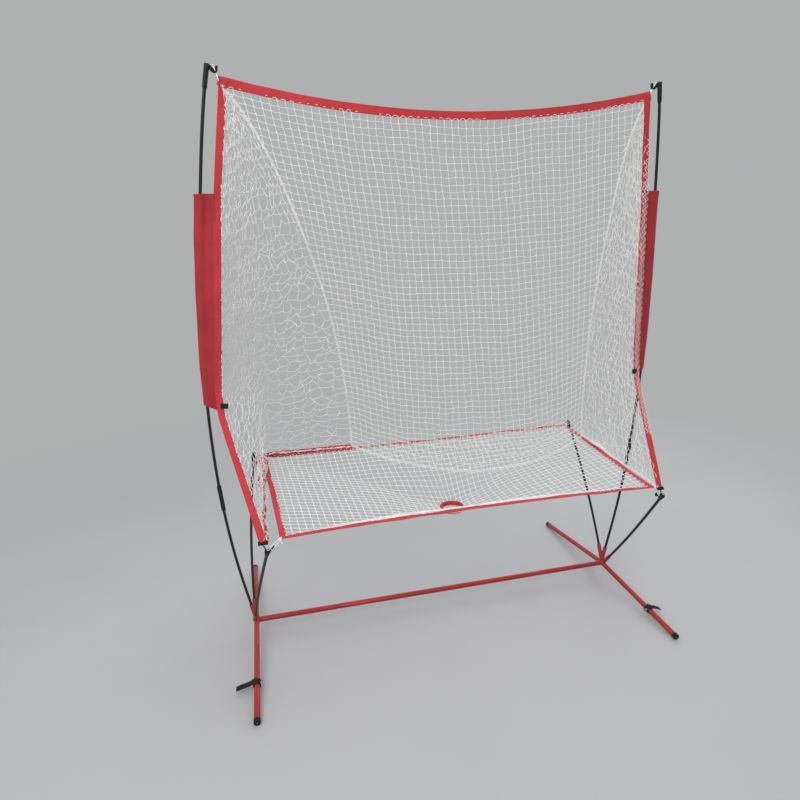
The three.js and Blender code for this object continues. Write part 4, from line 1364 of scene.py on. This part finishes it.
def build_seam_cords(shape, seam, rng):
    """Two cords laced together where a side panel is sewn to the back panel."""
    path = resampled(seam, 6 * MM)
    _, across, through = frames(path, X_AXIS)
    for offset, radius in ((-1.6 * MM, 1.4 * MM), (1.8 * MM, 1.3 * MM)):
        wander = rng.normal(size=len(path)) * 0.5 * MM
        shape.loft(rings_along(path + across * (offset + wander)[:, None], radius, 6))
    s = lengths(path)
    for reach, pitch in ((4.5 * MM, 18 * MM), (6.0 * MM, 31 * MM)):
        turn = 2 * math.pi * s / pitch
        zigzag = path + across * (reach * np.sin(turn))[:, None] \
            + through * (0.5 * reach * np.cos(turn))[:, None]
        shape.loft(rings_along(resampled(zigzag, 3.5 * MM), 1.0 * MM, 5))


def build_side_hem(word, side, foot, rng):
    """The side panel's foot: a twisted hem with the net bunched over it, red at left and white at right."""
    path = resampled(foot, 6 * MM)
    s = lengths(path)
    share = s / s[-1]
    rise = np.clip((share - 0.2) / 0.35, 0, 1)
    bulk = (0.45 + 0.75 * rise * rise * (3 - 2 * rise)) * (1 - 0.45 * np.clip((share - 0.8) / 0.2, 0, 1))
    bulk = bulk * (1.25 if side < 0 else 0.3)
    flat = np.clip((share - 0.62) / 0.06, 0, 1) * (side < 0)  # lies flat along the tray's rear edge
    stray = 7 * MM * bump(share) ** 0.5 * (1 - 0.75 * flat)
    path = path + noise_field(path, 14.0, 9 + side) * stray[:, None] - flat[:, None] * 9 * MM * Z_AXIS
    tangent, up, across = frames(path, Z_AXIS)
    shape = Shape()
    for strip, (most, lean) in enumerate(((32 * MM, 0.4), (24 * MM, -0.9))):
        spin = lean + 1.1 * np.sin(s * 9 + side + strip) + 0.7 * np.sin(s * 23 + 2 * strip)
        spin = lerp(spin, math.pi / 2 + 0.15 * np.sin(s * 19 + strip), flat)
        wide = np.cos(spin)[:, None] * across + np.sin(spin)[:, None] * up
        thin = np.cross(tangent, wide)
        width = lerp(bulk * (0.85 + 0.25 * np.sin(s * 31 + 1 + strip)), 0.85, flat)
        outline = flat_outline(most, 2.0 * MM, 16)
        lift = strip * 5 * MM * (1 - flat)[:, None, None] * up[:, None]
        rings = path[:, None] + lift + outline[None, :, 1:] * thin[:, None] \
            + outline[None, :, :1] * width[:, None, None] * wide[:, None]
        shape.loft(rings, paint=0)
    for turn in range(7):
        phase = turn * 2.1
        size = bulk * (1 - 0.7 * flat) * (11 + 4 * np.sin(s * (13 + turn) + phase)) * MM
        angle = s * (60 + 14 * turn) * (-1) ** turn + phase
        coil = path + size[:, None] * (np.cos(angle)[:, None] * across + 0.7 * np.sin(angle)[:, None] * up)
        coil = coil + 4 * MM * bulk[:, None] * up + rng.normal(size=coil.shape) * 1.0 * MM
        shape.loft(rings_along(smooth_through(coil[::2], 3), 1.1 * MM, 5), paint=1)
    if side < 0:
        shape.build(f"{word}_side_hem", [LIT_FABRIC, NETTING], slot="red_fabric")
    else:
        shape.build(f"{word}_side_hem", [NETTING, NETTING], slot="white_netting")


def build_hem_cord():
    """The back panel's lower edge: a cord with scallops hanging from it."""
    rng = np.random.default_rng(31)
    path = resampled(HEM, 5 * MM)
    path = path + noise_field(path, 20.0, 4) * 5 * MM
    shape = Shape()
    shape.loft(rings_along(path, 1.5 * MM, 6))
    s = lengths(path)
    for shift in (0.0, 0.35):
        swing = np.abs(np.sin(math.pi * s / BACK_MESH + shift * 3))
        low = path - Z_AXIS * (9 * MM * swing)[:, None] - Y_AXIS * (3 * MM * swing * (1 - 2 * shift))[:, None]
        low = low + rng.normal(size=low.shape) * 0.7 * MM
        shape.loft(rings_along(smooth_through(low, 2), 1.1 * MM, 5))
    shape.build("back_netting_hem", [NETTING], slot="white_netting")


def build_bindings():
    shape = Shape()
    path = resampled(TOP_LINE, 7 * MM)
    ribbon(shape, path, Z_AXIS, TOP_WIDTH, WEB, 2.5 * MM, 1)
    for offset in (-TOP_WIDTH / 2 + 3 * MM, TOP_WIDTH / 2 - 3.5 * MM):
        line = rippled(path, Z_AXIS, TOP_WIDTH, 2.5 * MM, 1, offset)
        for face in (-1, 1):
            stitch_row(shape, line, Z_AXIS, 0, face * WEB / 2, 1)
    lacing_shape = Shape()
    edge = path - Z_AXIS * (TOP_WIDTH / 2 - 1 * MM)
    lacing(lacing_shape, edge, Y_AXIS, BACK_MESH, np.random.default_rng(41), 3.5 * MM)
    shape.build("top_binding_tape", [LIT_FABRIC, RED_THREAD], stands_for=["top_binding"], slot="red_fabric")
    lacing_shape.build("top_binding_lacing", [NETTING], slot="white_netting")
    for number, (word, _) in enumerate(SIDES):
        shape = Shape()
        path = resampled(SIDE_BANDS[word], 7 * MM)
        ribbon(shape, path, X_AXIS, SIDE_WIDTH, WEB, 3 * MM, 4 + number)
        for offset in (-SIDE_WIDTH / 2 + 3 * MM, SIDE_WIDTH / 2 - 3 * MM):
            line = rippled(path, X_AXIS, SIDE_WIDTH, 3 * MM, 4 + number, offset)
            for face in (-1, 1):
                stitch_row(shape, line, X_AXIS, 0, face * WEB / 2, 1)
        shape.build(f"{word}_side_binding_tape", [LIT_FABRIC, RED_THREAD], stands_for=[f"{word}_side_binding"],
                    slot="red_fabric")


def rippled(path, across, width, ripple, seed, offset):
    """The line on a rippled ribbon at an offset across it."""
    _, wide, through = frames(path, across)
    run = lengths(path)
    wave = np.array([noise.noise(Vector((s * 9, seed * 7.3, 0))) for s in run]) * ripple
    tilt = np.array([noise.noise(Vector((s * 13, seed * 3.1, 5))) for s in run]) * ripple / (width / 2)
    return path + wide * offset + through * (wave + tilt * offset)[:, None]


def build_sleeve(word, side, number):
    """Fabric folded round the bow and sewn to the side binding: a tunnel for the pole and a flat web."""
    node = f"{word}_bow_sleeve"
    low, high = low_high(node, 2)
    heights = np.linspace(high - 0.5 * MM, low + 0.5 * MM, 150)
    measured = np.linspace(high - 12 * MM, low + 12 * MM, 12)
    cuts = [section(node, 2, z) * (side, 1, 1) for z in measured]
    outer = np.interp(heights, measured[::-1], [c[:, 0].max() for c in cuts][::-1])
    inner = np.interp(heights, measured[::-1], [c[:, 0].min() for c in cuts][::-1])
    edges = [c[c[:, 0] < c[:, 0].min() + 2 * MM] for c in cuts]
    inner_y = np.interp(heights, measured[::-1], [e[:, 1].mean() for e in edges][::-1])
    bow = BOWS[word]
    pole = np.stack([np.interp(heights, bow[:, 2], bow[:, k]) for k in range(2)], -1)
    pole[:, 0] *= side
    share = np.linspace(0, 1, 34)
    rings = []
    for z, x_out, x_in, y_in, (px, py) in zip(heights, outer, inner, inner_y, pole):
        wobble = noise.noise(Vector((z * 7, number * 4.1, 2))) * 2.0 * MM
        x_out = x_out + wobble - 1 * MM
        x_in = x_in - 9 * MM
        x = lerp(x_out, x_in, share)
        y = np.where(x > px, py + 0.36 * (x - px), lerp(py, y_in, np.clip((px - x) / (px - x_in), 0, 1)))
        end_hem = max(0.0, 1 - min(z - low, high - z) / (16 * MM)) > 0
        half = (1.2 + 0.5 * end_hem) * MM + 5.6 * MM * np.exp(-(np.abs(x - px) / (13 * MM)) ** 2.6)
        fold = [noise.noise(Vector((xx * 16 + z * 5, z * 6 - xx * 9, number * 3.7))) for xx in x]
        crease = [noise.noise(Vector((xx * 45, z * 17 + xx * 20, number + 8.0))) for xx in x]
        free = np.clip(np.abs(x - px) / (14 * MM) - 0.6, 0, 1)
        y = y + (np.array(fold) * 5.5 * MM + np.array(crease) * 1.8 * MM) * free
        level = z - 22 * MM * share * np.clip(1 - (z - low) / (70 * MM), 0, 1)
        front = np.stack([x * side, y - half, level], -1)
        back = np.stack([x * side, y + half, level], -1)[::-1]
        rings.append(np.concatenate([front, back]))
    rings = np.array(rings)
    shape = Shape().loft(rings)
    columns = {"tunnel": int(np.argmin(np.abs(share - 0.52))), "edge": 31}
    for column in columns.values():
        line = rings[3:-3, column] - Y_AXIS * 0.3 * MM
        stitch_row(shape, line, Y_AXIS, 0, 0, 1)
    for row in (4, 7, -5, -8):
        line = rings[row, 1:33] - Y_AXIS * 0.3 * MM
        stitch_row(shape, line, Y_AXIS, 0, 0, 1)
    # the sleeve takes the darker copy of the red cloth, its colour painted shade
    shape.build(f"{word}_bow_sleeve_fabric", [SHADED_SLEEVE_FABRIC, RED_THREAD], stands_for=[node],
                slot="red_fabric", sharp=1.2)


def build_tabs(word, number):
    node = f"{word}_sleeve_tab"
    line = centres(node, 0, 2 * MM, 6)
    shape = Shape()
    line = resampled(run_on(line, 1.5 * MM, 1.5 * MM), 2 * MM)
    ribbon(shape, line, Z_AXIS, 20 * MM, 2.2 * MM, 1.5 * MM, 20 + number)
    shape.build(f"{word}_sleeve_tab_webbing", [WEBBING], stands_for=[node], slot="black_webbing")
    node = f"{word}_corner_webbing"
    low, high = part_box(node)
    centre_x = (low[0] + high[0]) / 2
    path = np.array([[centre_x, high[1], high[2]], [centre_x, low[1], low[2]]])
    path[0] = lerp(path[0], path[1], 0.4)
    path = resampled(path, 2 * MM)
    path[:, 2] -= np.linspace(0, 1, len(path)) * 1 * MM
    shape = Shape()
    ribbon(shape, path, X_AXIS, high[0] - low[0], 2.4 * MM, 1.5 * MM, 30 + number)
    for offset in (-9 * MM, -3 * MM, 3 * MM, 9 * MM):
        stitch_row(shape, path, X_AXIS, offset, -1.3 * MM, 1)
    shape.build(f"{word}_corner_webbing_patch", [WEBBING, BLACK_CORD], stands_for=[node],
                slot="black_webbing")
    return path[-1]


def knot(shape, centre, size, seed):
    """A small overhand knot, as three crossing turns of cord."""
    for turn in range(3):
        t = np.linspace(0, 2 * math.pi, 20, endpoint=False)
        a = unit(np.array([math.cos(turn * 2 + seed), math.sin(turn * 1.3 + seed), 0.6]))
        b = unit(np.cross(a, (0.3, 0.5 + turn, 1)))
        c = np.cross(a, b)
        path = centre + size * (np.cos(t)[:, None] * b + 0.8 * np.sin(t)[:, None] * c) \
            + a * size * 0.25 * (turn - 1)
        shape.loft(rings_along(path, CORD_R, 8, a, closed=True), looped=True)


def build_loop(name, place, corner, size, number):
    """An elastic loop from a net's corner, hooked over a pole's hook."""
    end, up, reach, depth = place
    slot = end + (reach * 18.0 - up * 2.5) * MM * size
    to_slot = toward(corner, slot)
    near = corner - to_slot * 5 * MM
    half = 6.5 * MM
    knots = [slot + depth * half, lerp(slot, near, 0.5) + depth * half * 0.62, near + depth * 2.2 * MM,
             near - to_slot * 3 * MM, near - depth * 2.2 * MM, lerp(slot, near, 0.5) - depth * half * 0.62,
             slot - depth * half, slot + to_slot * 3.0 * MM]
    path = smooth_through(knots, 10, closed=True)
    shape = Shape()
    shape.loft(rings_along(path, CORD_R, 8, np.cross(to_slot, depth), closed=True), looped=True)
    knot(shape, near + to_slot * 4 * MM, 2.4 * MM, number)
    tail = smooth_through([near + to_slot * 4 * MM, near + to_slot * 7 * MM + depth * 5 * MM,
                           near + to_slot * 5 * MM + depth * 10 * MM - Z_AXIS * 5 * MM,
                           near + depth * 11 * MM - Z_AXIS * 12 * MM], 8)
    shape.loft(rings_along(tail, CORD_R * 0.9, 8))
    shape.build(f"{name}_elastic", [ELASTIC], stands_for=[name], slot="white_elastic")


def build_corner_cord(word, start):
    """A doubled black cord from the pocket's low corner to the front tray pole's hook."""
    line = TRAY_POLES[word, "front"]
    collar = at_distance(line, lengths(line)[-1] - 18 * MM)[0]
    side_on = unit(np.cross(toward(start, collar), X_AXIS))
    target = collar - toward(start, collar) * (HOOK_R + 0.5 * MM)
    shape = Shape()
    for k in (-1, 1):
        bend = lerp(start, target, 0.5) + side_on * k * 3.5 * MM - Z_AXIS * 1.5 * MM
        path = smooth_through([start + X_AXIS * k * 2 * MM, bend, target + X_AXIS * k * 2 * MM], 10)
        shape.loft(rings_along(path, 1.2 * MM, 8))
    turn = np.linspace(0, 2 * math.pi, 40, endpoint=False)
    axis = unit(line[-1] - line[-3])
    a = unit(np.cross(axis, X_AXIS))
    b = np.cross(axis, a)
    for lift in (-1.3 * MM, 1.3 * MM):
        hoop = collar + axis * lift \
            + (HOOK_R + 0.9 * MM) * (np.cos(turn)[:, None] * a + np.sin(turn)[:, None] * b)
        shape.loft(rings_along(hoop, 1.2 * MM, 8, axis, closed=True), looped=True)
    shape.build(f"{word}_corner_cord_doubled", [BLACK_CORD], stands_for=[f"{word}_corner_cord"],
                slot="black_webbing")


# ---- Leg straps ----


def build_strap(word, side, number):
    body = f"{word}_strap_assembly"
    node = f"{word}_leg_strap"
    mouth, tip = LEGS[word, "front"]
    axis = toward(mouth, tip)
    points = edges_of(node).reshape(-1, 3)
    along_leg = (points - mouth) @ axis
    middle_at = mouth + axis * (along_leg.min() + along_leg.max()) / 2
    width = np.ptp(along_leg)
    out = X_AXIS * side
    up = unit(np.cross(axis, out) * side)
    up = up if up[2] > 0 else -up
    reach = ((points - middle_at) @ out).max()
    # the wrap: just over one turn of tape that spirals outwards and leaves as the loose end
    turns = np.linspace(math.radians(475), math.radians(78), 100)
    grow = np.linspace(TUBE_R + 1.1 * MM, STRAP_R - 0.1 * MM, len(turns))
    wrap = middle_at + grow[:, None] * (np.cos(turns)[:, None] * out + np.sin(turns)[:, None] * up)
    tail = [(9 * MM, 13 * MM), (20 * MM, 9.5 * MM), (34 * MM, 5 * MM), (0.7 * reach, 1 * MM),
            (0.87 * reach, -2.5 * MM), (reach - 0.5 * MM, -6 * MM)]
    tail = middle_at + np.array(tail) @ np.stack([out, up])
    path = resampled(smooth_through(np.concatenate([wrap[::6], tail]), 6), 2.0 * MM)
    shape = Shape()
    ribbon(shape, path, axis, width - 1 * MM, 1.7 * MM, 0.8 * MM, 50 + number)
    for offset in (-width / 2 + 3 * MM, width / 2 - 3 * MM):
        stitch_row(shape, path[8:-3], axis, offset, 1.0 * MM, 1)
        stitch_row(shape, path[8:-3], axis, offset, -1.0 * MM, 1)
    patch = path[-13:-1]  # the hook patch, near the loose end of the tape
    ribbon(shape, patch + up * 1.5 * MM, axis, width - 5 * MM, 1.2 * MM, 0.5 * MM, 60 + number, paint=0)
    shape.build(f"{word}_leg_strap_webbing", [WEBBING, BLACK_CORD], body, [node], "black_webbing")

    hoop_node = f"{word}_strap_elastic"
    hoop_points = edges_of(hoop_node).reshape(-1, 3)
    centre = hoop_points.mean(0)
    turn = np.linspace(0, 2 * math.pi, 64, endpoint=False)
    radius = np.linalg.norm(hoop_points - centre, axis=1).max() - 1.2 * MM
    lean = np.array([noise.noise(Vector((math.cos(a), math.sin(a), number * 2.0))) for a in turn]) * 2.5 * MM
    path = centre + radius * (np.cos(turn)[:, None] * out + np.sin(turn)[:, None] * up) + axis * lean[:, None]
    shape = Shape().loft(rings_along(path, 1.3 * MM, 10, axis, closed=True), looped=True)
    knot(shape, centre + radius * up + axis * lean[16], 2.2 * MM, number)
    shape.build(f"{word}_strap_elastic_cord", [BLACK_CORD], body, [hoop_node], "black_webbing")

    rivet_points = edges_of(f"{word}_strap_rivet").reshape(-1, 3)
    centre = rivet_points.mean(0)
    away = toward(middle_at, centre)
    away = unit(away - (away @ axis) * axis)
    dome = [(-1.1 * MM, 1.2 * MM), (-0.8 * MM, 4.3 * MM), (-0.5 * MM, 4.5 * MM), (0.1 * MM, 4.3 * MM),
            (0.5 * MM, 3.4 * MM), (0.75 * MM, 2.4 * MM), (0.6 * MM, 1.9 * MM), (0.5 * MM, 0.7 * MM)]
    shape = Shape()
    turned(shape, np.array([centre, centre + away]), dome, 32, reference=axis)
    shape.build(f"{word}_strap_rivet_domed", [ZINC], body, [f"{word}_strap_rivet"], "zinc")


# ---- Assembly ----

build_base()
TOP_CORNERS = {"left": TOP_LINE[0] + Z_AXIS * TOP_WIDTH / 2, "right": TOP_LINE[-1] + Z_AXIS * TOP_WIDTH / 2}
for number, (word, side) in enumerate(SIDES):
    build_bow(word)
    top_place = build_top_hook(word, TOP_CORNERS[word])
    build_loop(f"{word}_top_loop", top_place, TOP_CORNERS[word], 1, number)
    for place in ("front", "rear"):
        line = TRAY_POLES[word, place]
        node = f"{word}_{place}_tray_pole"
        pole_with_grey_ends(f"{node}_tube", line, 0, lengths(line)[-1], node)
        corner = TRAY.corner(place, side)
        hook_place = build_tray_hook(word, place, corner)
        build_loop(f"{word}_{place}_tray_loop", hook_place, corner, TRAY_HOOK_SIZE, 3 + number)
    webbing_foot = build_tabs(word, number)
    build_corner_cord(word, webbing_foot)
    build_sleeve(word, side, number)
    build_side_panel(word, side)
    build_strap(word, side, number)
build_bindings()
build_tray()
build_back_netting()
build_hem_cord()


# ---- Camera, light and floor ----

CAMERA_PLACE = (-0.716, -2.3435, 1.549)
CAMERA_ANGLES = (13.33, 13.39, -1.94)  # heading, downward pitch and roll, in degrees
CAMERA_SENSOR = 36  # sensor width and focal length in millimetres
CAMERA_LENS = 26.325
FLOOR_HALF = 30.0
FLOOR_DEPTH = 0.02
FLOOR_GAP = 0.05 * MM  # the floor's top lies just under the caps
AMBIENT = (0.62, 0.63, 0.65)


def build_camera():
    """The viewing angle: standing a little to the left of the net, looking slightly down at it."""
    heading, pitch, roll = (math.radians(angle) for angle in CAMERA_ANGLES)
    ahead = math.cos(pitch)
    look = np.array([math.sin(heading) * ahead, math.cos(heading) * ahead, -math.sin(pitch)])
    level = np.array([math.cos(heading), -math.sin(heading), 0])
    right = level * math.cos(roll) + np.cross(level, look) * math.sin(roll)
    up = np.cross(right, look)
    data = bpy.data.cameras.new("camera")
    data.sensor_width = CAMERA_SENSOR
    data.lens = CAMERA_LENS
    camera = bpy.data.objects.new("camera", data)
    rows = [(right[k], up[k], -look[k], CAMERA_PLACE[k]) for k in range(3)]
    camera.matrix_world = Matrix([*rows, (0, 0, 0, 1)])
    bpy.context.scene.collection.objects.link(camera)
    bpy.context.scene.camera = camera


def area_light(name, place, target, size, power, colour=(1, 1, 1)):
    data = bpy.data.lights.new(name, "AREA")
    data.shape = "SQUARE"
    data.size = size
    data.energy = power
    data.color = colour
    light = bpy.data.objects.new(name, data)
    light.location = place
    aim = Vector(target) - Vector(place)
    light.rotation_mode = "QUATERNION"
    light.rotation_quaternion = aim.to_track_quat("-Z", "Y")
    light.visible_camera = False
    bpy.context.scene.collection.objects.link(light)


def build_stage():
    floor_shape = Shape()
    square = ((-1, -1), (1, -1), (1, 1), (-1, 1))
    corners = np.array([(x * FLOOR_HALF, y * FLOOR_HALF, -FLOOR_DEPTH) for x, y in square])
    floor_shape.loft(np.array([corners, corners + (0, 0, FLOOR_DEPTH - FLOOR_GAP)]))
    mesh_piece = floor_shape.build("floor", [floor_paint()])
    mesh_piece.parent = None
    del mesh_piece["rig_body"]
    world = bpy.data.worlds.new("studio")
    world.use_nodes = True
    tree = world.node_tree
    tree.nodes.clear()
    background = tree.nodes.new("ShaderNodeBackground")
    seen = tree.nodes.new("ShaderNodeLightPath")
    mix = tree.nodes.new("ShaderNodeMix")
    mix.data_type = "RGBA"
    colours = [s for s in mix.inputs if s.type == "RGBA"]
    colours[0].default_value = (*AMBIENT, 1)
    colours[1].default_value = (*BACKDROP, 1)
    tree.links.new(seen.outputs["Is Camera Ray"], mix.inputs["Factor"])
    tree.links.new([s for s in mix.outputs if s.type == "RGBA"][0], background.inputs["Color"])
    out = tree.nodes.new("ShaderNodeOutputWorld")
    tree.links.new(background.outputs[0], out.inputs["Surface"])
    bpy.context.scene.world = world
    area_light("key", (-2.2, -3.2, 3.6), (0, -0.1, 1.0), size=3.0, power=135)
    area_light("top", (0.5, 0.5, 4.8), (0, 0, 0.8), size=4.0, power=42)
    area_light("rim", (2.8, 2.4, 2.6), (0, 0, 1.0), size=2.5, power=40)
    bpy.context.scene.view_settings.view_transform = "Standard"


build_camera()
build_stage()
